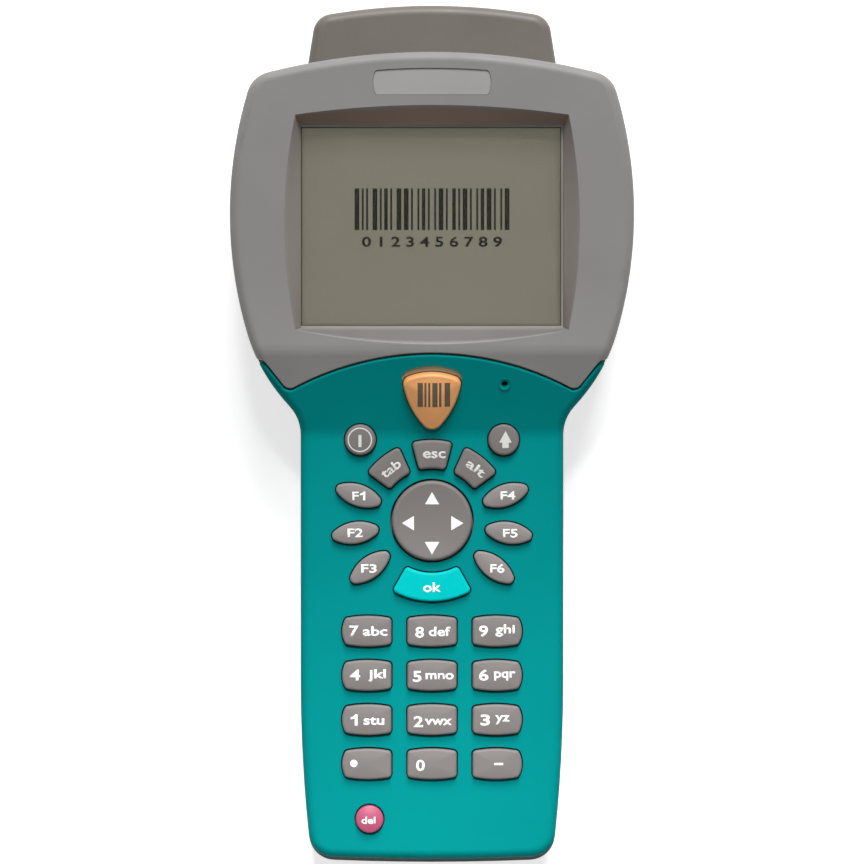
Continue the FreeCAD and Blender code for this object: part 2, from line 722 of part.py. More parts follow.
def scan_key():
    """Plectrum-shaped key that travels square to the neck."""
    cap = prism(scan_key_outline(0), -WALL - FLANGE_GAP, SCAN_KEY_RISE)
    cap = cap.makeFillet(SCAN_KEY_EDGE, edges_where(cap, is_upper_rim))
    flange_low = -WALL - FLANGE_GAP - FLANGE_THICKNESS
    flange = prism(scan_key_outline(FLANGE_LAP, SCAN_KEY_SCALLOP / 2), flange_low, -WALL - FLANGE_GAP)
    stem = rod(0, 0, SCAN_STEM_RADIUS, flange_low - SCAN_STEM_LENGTH, flange_low)
    return on_neck(united([cap, flange, stem]))


def scan_switch():
    """Switch on a wedge that stands on the keypad board, under the scan key's stem."""
    top = -WALL - FLANGE_GAP - FLANGE_THICKNESS - SCAN_STEM_LENGTH - KEY_TRAVEL - STEM_STOP
    tower = on_neck(block(0, 0, SCAN_TOWER, SCAN_TOWER, top - SHORT_REACH, top))
    return tower.cut(box((-BEYOND, -BEYOND, -BEYOND), (BEYOND, BEYOND, BOARD_TOP)))


def nav_level():
    """Height of the point that the round control rocks about."""
    return FLANGE_TOP - DISC_FLANGE_RADIUS * tan(radians(DISC_TILT * sqrt(2))) - DISC_FLANGE_THICKNESS / 2


def nav_disc():
    """Round rocking control with a dished face and a socket over its pivot."""
    level = nav_level()
    low = level - DISC_FLANGE_THICKNESS / 2
    cap = rod(0, DISC_Y, DISC_RADIUS, low, KEY_TOP)
    cap = cap.makeFillet(DISC_EDGE_RADIUS, edges_where(cap, is_upper_rim))
    flange = rod(0, DISC_Y, DISC_FLANGE_RADIUS, low, low + DISC_FLANGE_THICKNESS)
    dish = (DISC_DISH_RADIUS ** 2 + DISC_DISH ** 2) / (2 * DISC_DISH)
    hollow = Part.makeSphere(dish, Vector(0, DISC_Y, KEY_TOP - DISC_DISH + dish))
    socket = Part.makeSphere(PIVOT_RADIUS + PIVOT_CLEARANCE, Vector(0, DISC_Y, level))
    return united([cap, flange]).cut(hollow).cut(socket)


def nav_pivot():
    """Ball that the round control rocks on, one axis at a time."""
    return Part.makeSphere(PIVOT_RADIUS, Vector(0, DISC_Y, nav_level()))


def front_bosses(low, high, places, radius):
    """Posts at the case screws."""
    return [rod(x, y, radius, low, high) for x, y in both_sides(places)]


def front_screw_holes():
    """Pilot holes for the case screws in the front shells."""
    top = SCREW_SINK + SCREW_LENGTH + 1
    return [rod(x, y, SCREW_RADIUS + SCREW_FIT, 0, top) for x, y in both_sides(CASE_SCREWS)]


def display_recess():
    """Funnel from the head's front surface down to the display window."""
    half_x = WINDOW_X / 2
    half_y = WINDOW_Y / 2
    top_y = half_y + RECESS_MARGIN_TOP
    low_y = -half_y - RECESS_MARGIN_LOW
    out_x = half_x + RECESS_MARGIN_X
    corners = [(-out_x, low_y), (out_x, low_y), (out_x, top_y), (-out_x, top_y)]
    middles = [(0, low_y - RECESS_BULGE_LOW), (out_x + RECESS_BULGE_X, 0),
               (0, top_y + RECESS_BULGE_TOP), (-out_x - RECESS_BULGE_X, 0)]
    floor = [(-half_x, -half_y), (half_x, -half_y), (half_x, half_y), (-half_x, half_y)]
    upper = []
    lower = []
    for i in range(4):
        j = (i + 1) % 4
        ends = [Vector(*corners[i], HEAD_FRONT_Z), Vector(*corners[j], HEAD_FRONT_Z)]
        upper.append(Part.Arc(ends[0], Vector(*middles[i], HEAD_FRONT_Z), ends[1]).toShape())
        ends = [Vector(*floor[i], WINDOW_Z), Vector(*floor[j], WINDOW_Z)]
        lower.append(Part.LineSegment(*ends).toShape())
    funnel = Part.makeLoft([Part.Wire(lower), Part.Wire(upper)], True, True)
    mouth = Part.Face(Part.Wire(upper)).extrude(Vector(0, 0, 1))
    throat = block(0, 0, WINDOW_X, WINDOW_Y, LENS_LOW - 1, WINDOW_Z)
    hole = funnel.multiFuse([mouth, throat])
    hole.translate(Vector(0, WINDOW_CENTRE_Y, 0))
    return hole


def badge_outline(grow):
    """Arched outline of the badge recess, round (0, 0)."""
    half_x = BADGE_X / 2 - BADGE_CORNER
    half_y = BADGE_Y / 2 - BADGE_CORNER
    top = bulge_radius(half_x, BADGE_CORNER + BADGE_ARCH, BADGE_CORNER)
    side = bulge_radius(half_y, BADGE_CORNER + BADGE_SIDE_ARCH, BADGE_CORNER)
    centres = [(-half_x, -half_y), (half_x, -half_y), (half_x, half_y), (-half_x, half_y)]
    wire = blended(centres, [BADGE_CORNER] * 4, [None, side, top, side], grow)
    return placed(wire, 0, HEAD_TOP_Y - BADGE_BELOW_TOP)


def front_bezel():
    """Grey front of the head, round the display."""
    outer = front_block(0, 0)
    outer = outer.makeFillet(FRONT_EDGE_RADIUS, edges_where(outer, is_upper_rim))
    region = bezel_region()
    outer = outer.common(region)
    outer = outer.makeFillet(BEZEL_BREAK_EDGE, edges_where(outer, is_upper_rim))
    shell = outer.cut(front_block(WALL, WALL, 0))
    under = front_block(WALL + SEAM_GAP, WALL - FIT_GAP)
    layer = under.cut(front_block(WALL + SEAM_GAP, WALL + LIP_THICKNESS, 0))
    root = layer.common(region).cut(bezel_region(LIP_WIDTH))
    tongue = front_block(WALL + SEAM_GAP, WALL + SEAM_GAP)
    tongue = tongue.cut(front_block(WALL + SEAM_GAP, WALL + LIP_THICKNESS, 0))
    tongue = tongue.common(bezel_region(-LIP_WIDTH)).cut(bezel_region(LIP_WIDTH))
    seat = block(0, WINDOW_CENTRE_Y, SEAT_X, SEAT_Y, LENS_LOW, HEAD_FRONT_Z - WALL / 2)
    pocket = block(0, WINDOW_CENTRE_Y, LENS_X + 2 * LENS_GAP, LENS_Y + 2 * LENS_GAP,
                   LENS_LOW - 1, LENS_TOP)
    bosses = front_bosses(PARTING_Z, HEAD_FRONT_Z - WALL / 2, CASE_SCREWS[:2], BOSS_RADIUS)
    body = united([shell, root, tongue, seat] + bosses)
    cuts = [pocket, display_recess(),
            prism(badge_outline(FIT_GAP), HEAD_FRONT_Z - BADGE_DEPTH, HEAD_FRONT_Z + 1)]
    return body.cut(cuts + front_screw_holes())


def front_grip_shell(keys):
    """Coloured front of the grip, with its key openings."""
    outer = front_block(0, 0)
    outer = outer.makeFillet(FRONT_EDGE_RADIUS, edges_where(outer, is_upper_rim))
    outer = outer.cut(bezel_region(-BREAK_GAP))
    outer = outer.makeFillet(GRIP_BREAK_EDGE, edges_where(outer, is_upper_rim))
    shell = outer.cut(front_block(WALL, WALL, 0))
    bosses = front_bosses(PARTING_Z, GRIP_INNER_Z + WALL / 2, CASE_SCREWS[2:], BOSS_RADIUS)
    cuts = [prism(outline(KEY_GAP), 0, KEY_TOP + 1) for outline, stem in keys.values()]
    cuts.append(rod(0, DISC_Y, DISC_RADIUS + DISC_GAP, 0, KEY_TOP + 1))
    cuts.append(on_neck(prism(scan_key_outline(KEY_GAP), -2 * WALL, 2 * WALL)))
    cuts.append(on_neck(prism(scan_key_outline(KEY_GAP, SCAN_KEY_SCALLOP), -WALL / 2, 2 * WALL)))
    cuts.append(on_neck(rod(SOUND_HOLE_X, SOUND_HOLE_V, SOUND_HOLE_RADIUS, -2 * WALL, WALL)))
    return united([shell] + bosses).cut(cuts + front_screw_holes())


def back_block(inset, low, high):
    """Solid of the back shell's outline with its rounded back edge."""
    solid = prism(case_outline(inset), low, high)
    return solid.makeFillet(BACK_EDGE_RADIUS - inset, edges_where(solid, is_lower_rim))


def door_slot(gap):
    """Space of the battery door: a plate with a wider tongue on its inner side."""
    top = DOOR_TOP_Y + gap
    plate = box((-DOOR_HALF_X - gap, END_Y - BEYOND, -1 if gap else DOOR_RECESS),
                (DOOR_HALF_X + gap, top, WALL + (DOOR_SLIP if gap else 0)))
    half = DOOR_HALF_X + DOOR_TONGUE + gap
    low = DOOR_LIP + (0 if gap else DOOR_SLIP)
    tongue = box((-half, END_Y - BEYOND, low), (half, top, WALL + (DOOR_SLIP if gap else 0)))
    return plate.fuse(tongue).removeSplitter()


def rear_shell():
    """Grey back of the whole case, with the battery bay, bosses and door rails."""
    outer = back_block(0, 0, PARTING_Z)
    shell = outer.cut(back_block(WALL, WALL, PARTING_Z + 1))
    floor = WALL + DOOR_SLIP
    ledge_x = DOOR_HALF_X + DOOR_TONGUE + LEDGE_WIDTH
    ledge = box((-ledge_x, END_Y, floor - LEDGE), (ledge_x, DOOR_TOP_Y + LEDGE_WIDTH, floor + LEDGE))
    middle_y = (BAY_TOP_Y + BAY_LOW_Y) / 2
    bay_y = BAY_TOP_Y - BAY_LOW_Y
    walls = block(0, middle_y, 2 * (BAY_HALF_X + RIB), bay_y + 2 * RIB, floor, BAY_RIB_TOP)
    bay = block(0, middle_y, 2 * BAY_HALF_X, bay_y, -1, BAY_RIB_TOP + 1)
    bosses = [rod(x, y, BOSS_RADIUS, WALL / 2, PARTING_Z) for x, y in both_sides(CASE_SCREWS)]
    bosses += [rod(x, y, BOSS_RADIUS, WALL / 2, BOARD_Z) for x, y in both_sides(BOARD_SCREWS)]
    for x, y in both_sides(((ENGINE_X / 2 - POST_INSET, ENGINE_BACK + POST_INSET),)):
        bosses.append(rod(x, y, POST_RADIUS, WALL / 2, ENGINE_LOW - BRACKET_THICKNESS))
    body = united([shell, ledge.common(outer), walls] + bosses)
    cuts = [door_slot(DOOR_GAP), bay, duct(), seal(0), dock_block(FIT_GAP, 0)]
    cuts.append(rounded_box(0, LABEL_PLACE_Y, LABEL_X, LABEL_Y, LABEL_CORNER, -1, LABEL_DEPTH))
    for x, y in both_sides(CASE_SCREWS):
        cuts.append(rod(x, y, SCREW_HEAD_RADIUS + SCREW_HOLE_GAP, -1, SCREW_SINK))
        cuts.append(rod(x, y, SCREW_RADIUS + SCREW_HOLE_GAP, 0, PARTING_Z + 1))
    for x, y in both_sides(BOARD_SCREWS):
        low = BOARD_TOP - BOARD_SCREW_LENGTH - 1
        cuts.append(rod(x, y, BOARD_SCREW_RADIUS + SCREW_FIT, low, BOARD_Z + 1))
    return body.cut(cuts)


def battery_door():
    """Sliding door of the battery bay, with finger grooves near its lower end."""
    door = back_block(0, 0, PARTING_Z).common(door_slot(0))
    grooves = []
    low_y = END_Y + BACK_EDGE_RADIUS + 2 * DOOR_GROOVE_PITCH
    for i in range(DOOR_GROOVES):
        y = low_y + i * DOOR_GROOVE_PITCH
        grooves.append(block(0, y, 2 * DOOR_GROOVE_HALF, DOOR_GROOVE_WIDTH,
                             -1, DOOR_RECESS + DOOR_GROOVE_DEPTH))
    return door.cut(grooves)


def battery_cells():
    """Two round cells side by side, each with its raised pole."""
    pole = CONTACT_THICKNESS
    cells = []
    for side in (1, -1):
        low = Vector(side * CELL_SPACING / 2, BAY_LOW_Y + BAY_END_GAP, CELL_Z)
        can = Part.makeCylinder(CELL_RADIUS, CELL_LENGTH - pole, low, Vector(0, 1, 0))
        can = can.makeFillet(pole, can.Edges)
        tip = low + Vector(0, CELL_LENGTH - 2 * pole, 0)
        cells.append(can.fuse(Part.makeCylinder(POLE_RADIUS, 2 * pole, tip, Vector(0, 1, 0))))
    return Part.makeCompound(cells)


def battery_contacts():
    """Spring leaves at both ends of each cell."""
    reach = BAY_END_GAP - FIT_GAP
    leaves = []
    for side in (1, -1):
        x = side * CELL_SPACING / 2
        for wall_y, way in ((BAY_LOW_Y, 1), (BAY_TOP_Y, -1)):
            ys = sorted((wall_y, wall_y + way * CONTACT_THICKNESS))
            plate = box((x - CELL_RADIUS / 2, ys[0], CELL_Z - CELL_RADIUS / 2),
                        (x + CELL_RADIUS / 2, ys[1], CELL_Z + CELL_RADIUS / 2))
            button = Part.makeCylinder(SPRING_BUTTON_RADIUS, reach, Vector(x, wall_y, CELL_Z),
                                       Vector(0, way, 0))
            leaves.append(plate.fuse(button))
    return Part.makeCompound(leaves)


def dock_block(gap, set_back):
    """Body of the connector in the grip's end."""
    half = DOCK_X / 2 + gap
    front = END_Y + set_back if set_back else END_Y - 1
    return box((-half, front, DOCK_Z_LOW - gap), (half, END_Y + DOCK_DEPTH, DOCK_Z_HIGH + gap))


def dock_connector():
    """Connector for the charging cradle, with a row of contact blades in its slot."""
    middle = (DOCK_Z_LOW + DOCK_Z_HIGH) / 2
    front = END_Y + DOCK_SET_BACK
    slot = box((-DOCK_SLOT_X / 2, front - 1, middle - DOCK_SLOT_Z / 2),
               (DOCK_SLOT_X / 2, front + DOCK_SLOT_DEPTH, middle + DOCK_SLOT_Z / 2))
    body = dock_block(0, DOCK_SET_BACK).cut(slot)
    blades = []
    for i in range(DOCK_PINS):
        x = (i - (DOCK_PINS - 1) / 2) * DOCK_PIN_PITCH
        blades.append(box((x - DOCK_PIN / 2, front + DOCK_PIN, middle - DOCK_PIN / 2),
                          (x + DOCK_PIN / 2, front + DOCK_SLOT_DEPTH, middle + DOCK_PIN / 2)))
    return united([body] + blades)


def seal(slack):
    """Seal in the groove round the back shell's upper face."""
    outer = prism(case_outline(SEAL_OUTER + slack), PARTING_Z - SEAL_DEPTH + slack, PARTING_Z)
    inner = prism(case_outline(SEAL_OUTER + SEAL_WIDTH - slack), 0, PARTING_Z + 1)
    return outer.cut(inner)


def scan_head_cover():
    """Cover over the scan window, open towards the case."""
    outer = prism(scan_outline(0), SCAN_LOW_Z, SCAN_HIGH_Z)
    rims = edges_where(outer, is_upper_rim) + edges_where(outer, is_lower_rim)
    outer = outer.makeFillet(SCAN_EDGE_RADIUS, rims)
    inner = prism(scan_outline(-SCAN_WALL), SCAN_LOW_Z + SCAN_WALL, SCAN_HIGH_Z - SCAN_WALL)
    case = prism(case_outline(-SEAM_GAP), 0, HEAD_FRONT_Z)
    middle = (SCAN_OPENING_LOW + SCAN_OPENING_HIGH) / 2
    opening = rounded_box(0, 0, 2 * SCAN_OPENING_X, SCAN_OPENING_HIGH - SCAN_OPENING_LOW,
                          SCAN_OPENING_CORNER, 0, 4 * SCAN_REACH)
    opening.rotate(Vector(0, 0, 0), Vector(1, 0, 0), 90)
    opening.translate(Vector(0, LENGTH / 2 + SCAN_REACH * 3, middle))
    return outer.cut([inner, case, opening.common(box((-BEYOND, HEAD_TOP_Y, 0),
                                                      (BEYOND, BEYOND, BEYOND)))])


def scan_window():
    """Curved tinted window behind the scan head's opening."""
    low = SCAN_OPENING_LOW - SCAN_GLASS_LAP
    high = SCAN_OPENING_HIGH + SCAN_GLASS_LAP
    half = SCAN_OPENING_X + SCAN_GLASS_LAP
    outer = prism(scan_outline(-SCAN_WALL - SEAL_SLACK), low, high)
    inner = prism(scan_outline(-SCAN_WALL - SCAN_GLASS), low - 1, high + 1)
    strip = box((-half, HEAD_TOP_Y, low), (half, LENGTH, high))
    return outer.cut(inner).common(strip)


def scan_engine_body():
    """Scan engine with a chamber for the moving mirror, open to the front."""
    middle = (ENGINE_BACK + ENGINE_FRONT) / 2
    body = block(0, middle, ENGINE_X, ENGINE_FRONT - ENGINE_BACK, ENGINE_LOW, ENGINE_HIGH)
    chamber = box((-CHAMBER_X / 2, ENGINE_FRONT - CHAMBER_DEPTH, ENGINE_LOW + CHAMBER_FLOOR),
                  (CHAMBER_X / 2, ENGINE_FRONT + 1, ENGINE_HIGH - CHAMBER_FLOOR))
    return body.cut(chamber)


def mirror_y():
    """Place of the mirror's pivot along Y."""
    return ENGINE_FRONT - CHAMBER_DEPTH / 2


def scan_mirror():
    """Mirror plate on its pivot pin."""
    low = ENGINE_LOW + CHAMBER_FLOOR
    high = ENGINE_HIGH - CHAMBER_FLOOR
    plate = block(0, mirror_y(), MIRROR_X, MIRROR_THICKNESS, low + MIRROR_EDGE_GAP, high - MIRROR_EDGE_GAP)
    return plate.fuse(rod(0, mirror_y(), MIRROR_PIN_RADIUS, low + MIRROR_PIN_GAP, high - MIRROR_PIN_GAP))


def scan_engine_bracket():
    """Tray under the scan engine, with an ear up each side, standing on two posts."""
    length = ENGINE_FRONT - ENGINE_BACK - BRACKET_EAR
    middle = ENGINE_BACK + length / 2
    width = ENGINE_X + 2 * (BRACKET_THICKNESS + FIT_GAP)
    tray = block(0, middle, width, length, ENGINE_LOW - BRACKET_THICKNESS, ENGINE_LOW)
    ears = []
    for side in (1, -1):
        x = side * (width - BRACKET_THICKNESS) / 2
        ears.append(block(x, middle, BRACKET_THICKNESS, BRACKET_EAR,
                          ENGINE_LOW - BRACKET_THICKNESS, ENGINE_LOW + BRACKET_EAR_RISE))
    return united([tray] + ears)


def board(low, high, screws):
    """Circuit board between two places along Y, cleared round the case's bosses."""
    outline = prism(case_outline(BOARD_INSET), BOARD_Z, BOARD_TOP)
    plate = outline.common(box((-BEYOND, low, 0), (BEYOND, high, BEYOND)))
    cuts = [rod(x, y, BOSS_RADIUS + BOSS_GAP, 0, BEYOND) for x, y in both_sides(CASE_SCREWS)]
    cuts += [rod(x, y, BOARD_SCREW_RADIUS + SCREW_HOLE_GAP, 0, BEYOND) for x, y in both_sides(screws)]
    return plate.cut(cuts)


def keypad_mat(keys):
    """Rubber sheet on the keypad board, with a well under each stem and the disc's seat."""
    middle_y = (MAT_LOW + MAT_HIGH) / 2
    sheet = rounded_box(0, middle_y, 2 * MAT_HALF_WIDTH, MAT_HIGH - MAT_LOW, MAT_CORNER,
                        BOARD_TOP, MAT_TOP)
    wells = []
    for outline, stem in keys.values():
        wells.append(rod(stem[0], stem[1], STEM_RADIUS + STEM_CLEARANCE, 0, BEYOND))
    for x, y in both_sides(BOARD_SCREWS + CASE_SCREWS):
        wells.append(rod(x, y, BOSS_RADIUS + BOSS_GAP, 0, BEYOND))
    wells.append(rod(0, DISC_Y, PIVOT_POST_RADIUS + BOSS_GAP, 0, BEYOND))
    reach = nav_level() - PIVOT_RADIUS - PIVOT_SEAT_GAP
    return sheet.cut(wells), rod(0, DISC_Y, PIVOT_POST_RADIUS, BOARD_TOP, reach)


def cross_screw(x, y, seat, way, radius, head_radius, head, length):
    """Screw whose head sits on a level seat; way is the direction from the seat to its head."""
    low, high = sorted((seat, seat + way * head))
    top = seat + way * head
    body = rod(x, y, head_radius, low, high)
    low, high = sorted((seat, seat - way * length))
    body = body.fuse(rod(x, y, radius, low, high))
    low, high = sorted((top - way * CROSS_DEPTH, top + way))
    cross = block(x, y, CROSS_LENGTH, CROSS_WIDTH, low, high)
    return body.cut([cross, block(x, y, CROSS_WIDTH, CROSS_LENGTH, low, high)])


def case_screws():
    """Screws that hold the two front shells to the back shell."""
    screws = []
    for x, y in both_sides(CASE_SCREWS):
        screws.append(cross_screw(x, y, SCREW_SINK, -1, SCREW_RADIUS, SCREW_HEAD_RADIUS,
                                  SCREW_HEAD_HEIGHT, SCREW_LENGTH))
    return Part.makeCompound(screws)


def board_screws():
    """Screws that hold both boards to the back shell."""
    screws = []
    for x, y in both_sides(BOARD_SCREWS):
        screws.append(cross_screw(x, y, BOARD_TOP, 1, BOARD_SCREW_RADIUS, BOARD_SCREW_HEAD_RADIUS,
                                  BOARD_SCREW_HEAD, BOARD_SCREW_LENGTH))
    return Part.makeCompound(screws)


def display_parts():
    """Window, gasket, glass, light and frame of the display, from the front to the back."""
    y = WINDOW_CENTRE_Y
    parts = {"display_window": block(0, y, LENS_X, LENS_Y, LENS_LOW, LENS_TOP)}
    ring = block(0, y, LENS_X, LENS_Y, LCD_TOP, LENS_LOW)
    parts["display_gasket"] = ring.cut(block(0, y, WINDOW_X, WINDOW_Y, LCD_TOP, LENS_LOW))
    parts["lcd_panel"] = block(0, y, LCD_X, LCD_Y, LCD_LOW, LCD_TOP)
    parts["lcd_backlight"] = block(0, y, LCD_X, LCD_Y, LIGHT_LOW, LCD_LOW)
    frame = block(0, y, SEAT_X, SEAT_Y, LIGHT_LOW, LENS_LOW)
    inner_x = LCD_X + 2 * FIT_GAP
    inner_y = LCD_Y + 2 * FIT_GAP
    parts["lcd_frame"] = frame.cut(block(0, y, inner_x, inner_y, LIGHT_LOW - 1, LENS_LOW + 1))
    return parts


def lcd_flex():
    """Ribbon from the display's lower edge down to the main board."""
    y = WINDOW_CENTRE_Y - SEAT_Y / 2 - FIT_GAP
    half = LCD_FLEX_WIDTH / 2
    drop = box((-half, y - FLEX_THICKNESS, BOARD_TOP), (half, y, LCD_TOP))
    foot_y = y - SOCKET_DEPTH
    foot = box((-half, foot_y, BOARD_TOP), (half, y, BOARD_TOP + FLEX_THICKNESS))
    return united([drop, foot])


def keypad_flex():
    """Ribbon with a socket at each end, from the keypad board to the main board."""
    shift = LCD_FLEX_WIDTH / 2 + FLEX_WIDTH / 4 + 1
    parts = []
    for side in (1, -1):
        x = side * shift
        width = FLEX_WIDTH / 2
        low = KEYPAD_BOARD_HIGH - SOCKET_DEPTH
        high = MAIN_BOARD_LOW + SOCKET_DEPTH
        strip = box((x - width / 2, low, BOARD_TOP), (x + width / 2, high, BOARD_TOP + FLEX_THICKNESS))
        near = box((x - width / 2, low, BOARD_TOP), (x + width / 2, low + SOCKET_DEPTH / 2,
                                                     BOARD_TOP + SOCKET_HEIGHT))
        far = box((x - width / 2, high - SOCKET_DEPTH / 2, BOARD_TOP),
                  (x + width / 2, high, BOARD_TOP + SOCKET_HEIGHT))
        parts.append(united([strip, near, far]))
    return Part.makeCompound(parts)


def on_board(place, size_x, size_y, height):
    """Block on the main board's front face."""
    return block(place[0], place[1], size_x, size_y, BOARD_TOP, BOARD_TOP + height)


def processor_shield():
    """Metal can over the processor, open on the board's side."""
    can = on_board(SHIELD_PLACE, SHIELD_X, SHIELD_Y, SHIELD_HEIGHT)
    inner = on_board(SHIELD_PLACE, SHIELD_X - 2 * SHIELD_WALL, SHIELD_Y - 2 * SHIELD_WALL,
                     SHIELD_HEIGHT - SHIELD_WALL)
    return can.cut(inner)


def buzzer():
    """Sounder behind the hole in the neck."""
    top = -WALL - FIT_GAP
    can = rod(SOUND_HOLE_X, SOUND_HOLE_V, BUZZER_RADIUS, top - BUZZER_HEIGHT, top)
    return on_neck(can.cut(rod(SOUND_HOLE_X, SOUND_HOLE_V, SOUND_HOLE_RADIUS, top - 1, top + 1)))


def all_parts():
    """Every node of the terminal: name -> solid or group of solids."""
    keys = key_table()
    parts = {name: key_solid(outline, stem) for name, (outline, stem) in keys.items()}
    parts["scan_key"] = scan_key()
    parts["scan_switch"] = scan_switch()
    parts["nav_disc"] = nav_disc()
    parts["nav_pivot"] = nav_pivot()
    parts["front_bezel"] = front_bezel()
    parts["front_grip_shell"] = front_grip_shell(keys)
    parts["rear_shell"] = rear_shell()
    parts["battery_door"] = battery_door()
    parts["battery_cells"] = battery_cells()
    parts["battery_contacts"] = battery_contacts()
    parts["dock_connector"] = dock_connector()
    parts["case_gasket"] = seal(SEAL_SLACK)
    parts["scan_head_cover"] = scan_head_cover()
    parts["scan_window"] = scan_window()
    parts["scan_engine_body"] = scan_engine_body()
    parts["scan_mirror"] = scan_mirror()
    parts["scan_engine_bracket"] = scan_engine_bracket()
    parts["name_plate"] = prism(badge_outline(0), HEAD_FRONT_Z - BADGE_DEPTH,
                                HEAD_FRONT_Z - BADGE_DEPTH + BADGE_PLATE)
    parts["main_board"] = board(MAIN_BOARD_LOW, MAIN_BOARD_HIGH, BOARD_SCREWS[:2])
    mat, post = keypad_mat(keys)
    keypad_board = board(KEYPAD_BOARD_LOW, KEYPAD_BOARD_HIGH, BOARD_SCREWS[2:])
    parts["keypad_board"] = united([keypad_board, post])
    parts["keypad_mat"] = mat
    parts["keypad_flex"] = keypad_flex()
    parts["case_screws"] = case_screws()
    parts["board_screws"] = board_screws()
    parts.update(display_parts())
    parts["lcd_flex"] = lcd_flex()
    parts["radio_module"] = on_board(RADIO_PLACE, RADIO_X, RADIO_Y, RADIO_HEIGHT)
    parts["antenna"] = on_board(ANTENNA_PLACE, ANTENNA_X, ANTENNA_Y, ANTENNA_HEIGHT)
    parts["processor_shield"] = processor_shield()
    parts["coin_cell"] = rod(COIN_PLACE[0], COIN_PLACE[1], COIN_RADIUS, BOARD_TOP, BOARD_TOP + COIN_HEIGHT)
    parts["buzzer"] = buzzer()
    return parts


def main():
    """Builds and writes every node."""
    os.makedirs("parts", exist_ok=True)
    for name, shape in sorted(all_parts().items()):
        shape.exportStep("parts/%s.step" % name)


main()
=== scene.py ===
"""Looks of a hand-held barcode data terminal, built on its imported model.

The file is laid out as an add-on and is run as a script. Sizes are millimetres and become metres
through MM. +Z is up, +Y runs to the scan head and the terminal lies on its back.
"""
from math import cos, radians, sin

import bpy
from bpy.props import FloatProperty, FloatVectorProperty, PointerProperty
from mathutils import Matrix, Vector


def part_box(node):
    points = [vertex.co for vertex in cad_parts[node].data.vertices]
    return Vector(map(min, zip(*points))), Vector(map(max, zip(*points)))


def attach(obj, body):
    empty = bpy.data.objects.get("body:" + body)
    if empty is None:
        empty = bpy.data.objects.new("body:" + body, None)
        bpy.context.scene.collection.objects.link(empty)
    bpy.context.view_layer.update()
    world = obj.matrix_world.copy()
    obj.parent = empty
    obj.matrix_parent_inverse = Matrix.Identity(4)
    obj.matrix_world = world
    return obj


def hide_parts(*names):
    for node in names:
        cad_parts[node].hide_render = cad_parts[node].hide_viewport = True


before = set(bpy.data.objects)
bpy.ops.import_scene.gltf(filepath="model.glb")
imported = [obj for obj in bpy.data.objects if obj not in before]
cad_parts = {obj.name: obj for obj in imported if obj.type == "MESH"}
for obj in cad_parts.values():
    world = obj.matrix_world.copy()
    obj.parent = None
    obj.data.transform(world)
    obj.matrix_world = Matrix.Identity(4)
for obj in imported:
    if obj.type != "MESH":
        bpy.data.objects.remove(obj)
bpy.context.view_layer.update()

bl_info = {
    "name": "Barcode terminal looks",
    "version": (1, 0, 0),
    "blender": (4, 5, 0),
    "location": "View3D > Sidebar > Terminal",
    "description": "Materials, printed legends, trim and stage of a hand-held data terminal",
    "category": "Object",
}

MM = 0.001
UP = Vector((0.0, 0.0, 1.0))
# Slope of the neck's face, a point on it and the way it faces
NECK_ANGLE = radians(18.6)
NECK_ORIGIN = Vector((0.0, 9.0, 32.96)) * MM
NECK_UP = Vector((0.0, -sin(NECK_ANGLE), cos(NECK_ANGLE)))
# Left, low, right and high edge of the hole in the bezel's recess, in millimetres
WINDOW_OPENING = (-32.65, 26.8, 32.65, 77.2)
# Middle and half sizes of the recess round the display
RECESS_MIDDLE = (0.0, 52.0 * MM, 0.0)
RECESS_HALF_WIDTH = 38 * MM
RECESS_HALF_LENGTH = 31 * MM
# Y over which the painted tone of the recess's near wall gives way to that of its sides, and
# that of its sides to that of its far wall. These tones are painted light and shade.
PAINTED_SHADE_NEAR_WALL = (26 * MM, 27 * MM)
PAINTED_SHADE_FAR_WALL = (77 * MM, 78 * MM)
# Heights at which the recess's painted light and shade starts, just under its rim, and is full
PAINTED_SHADE_START = 36.9 * MM
PAINTED_SHADE_FULL = 36.2 * MM
# Heights between which the dark colour on a key's sides, painted shade, gives way to the colour on
# its top
KEY_SIDE_SHADE_LOW = 30.95 * MM
KEY_SIDE_SHADE_HIGH = 31.2 * MM
# Dark colour of a key's sides: painted shade round the key
KEY_SIDE_SHADE = "#2b1f1a"
# Shares of a key's flat top that the steps of its crown cover
CROWN_STEPS = (0.94, 0.86, 0.76, 0.64, 0.5, 0.34, 0.16)
NUMBER_KEYS = ("key_7", "key_8", "key_9", "key_4", "key_5", "key_6",
               "key_1", "key_2", "key_3", "key_dot", "key_0", "key_dash")
FUNCTION_KEYS = ("f1_key", "f2_key", "f3_key", "f4_key", "f5_key", "f6_key")
RING_KEYS = ("esc_key", "tab_key", "alt_key")
ROUND_KEYS = ("power_key", "shift_key")


def linear(colour):
    """Linear RGBA of an sRGB hex colour."""
    levels = [int(colour[start:start + 2], 16) / 255 for start in (1, 3, 5)]
    light = [level / 12.92 if level <= 0.04045 else ((level + 0.055) / 1.055) ** 2.4
             for level in levels]
    return light + [1.0]


def hex_of(colour, factor=1.0):
    """sRGB hex of a linear colour, with its light multiplied by factor."""
    levels = []
    for light in colour:
        light = min(1.0, max(0.0, light * factor))
        level = light * 12.92 if light <= 0.0031308 else 1.055 * light ** (1 / 2.4) - 0.055
        levels.append(round(level * 255))
    return "#%02x%02x%02x" % tuple(levels)


def add_node(tree, kind, inputs=None, **settings):
    """Adds a node, sets its settings, and sets or links its inputs."""
    node = tree.nodes.new(kind)
    for name, value in settings.items():
        setattr(node, name, value)
    for name, value in (inputs or {}).items():
        if isinstance(value, bpy.types.NodeSocket):
            tree.links.new(value, node.inputs[name])
        else:
            node.inputs[name].default_value = value
    return node


def empty_material(name):
    """New material with no nodes."""
    material = bpy.data.materials.new(name)
    material.use_nodes = True
    material.node_tree.nodes.clear()
    return material, material.node_tree


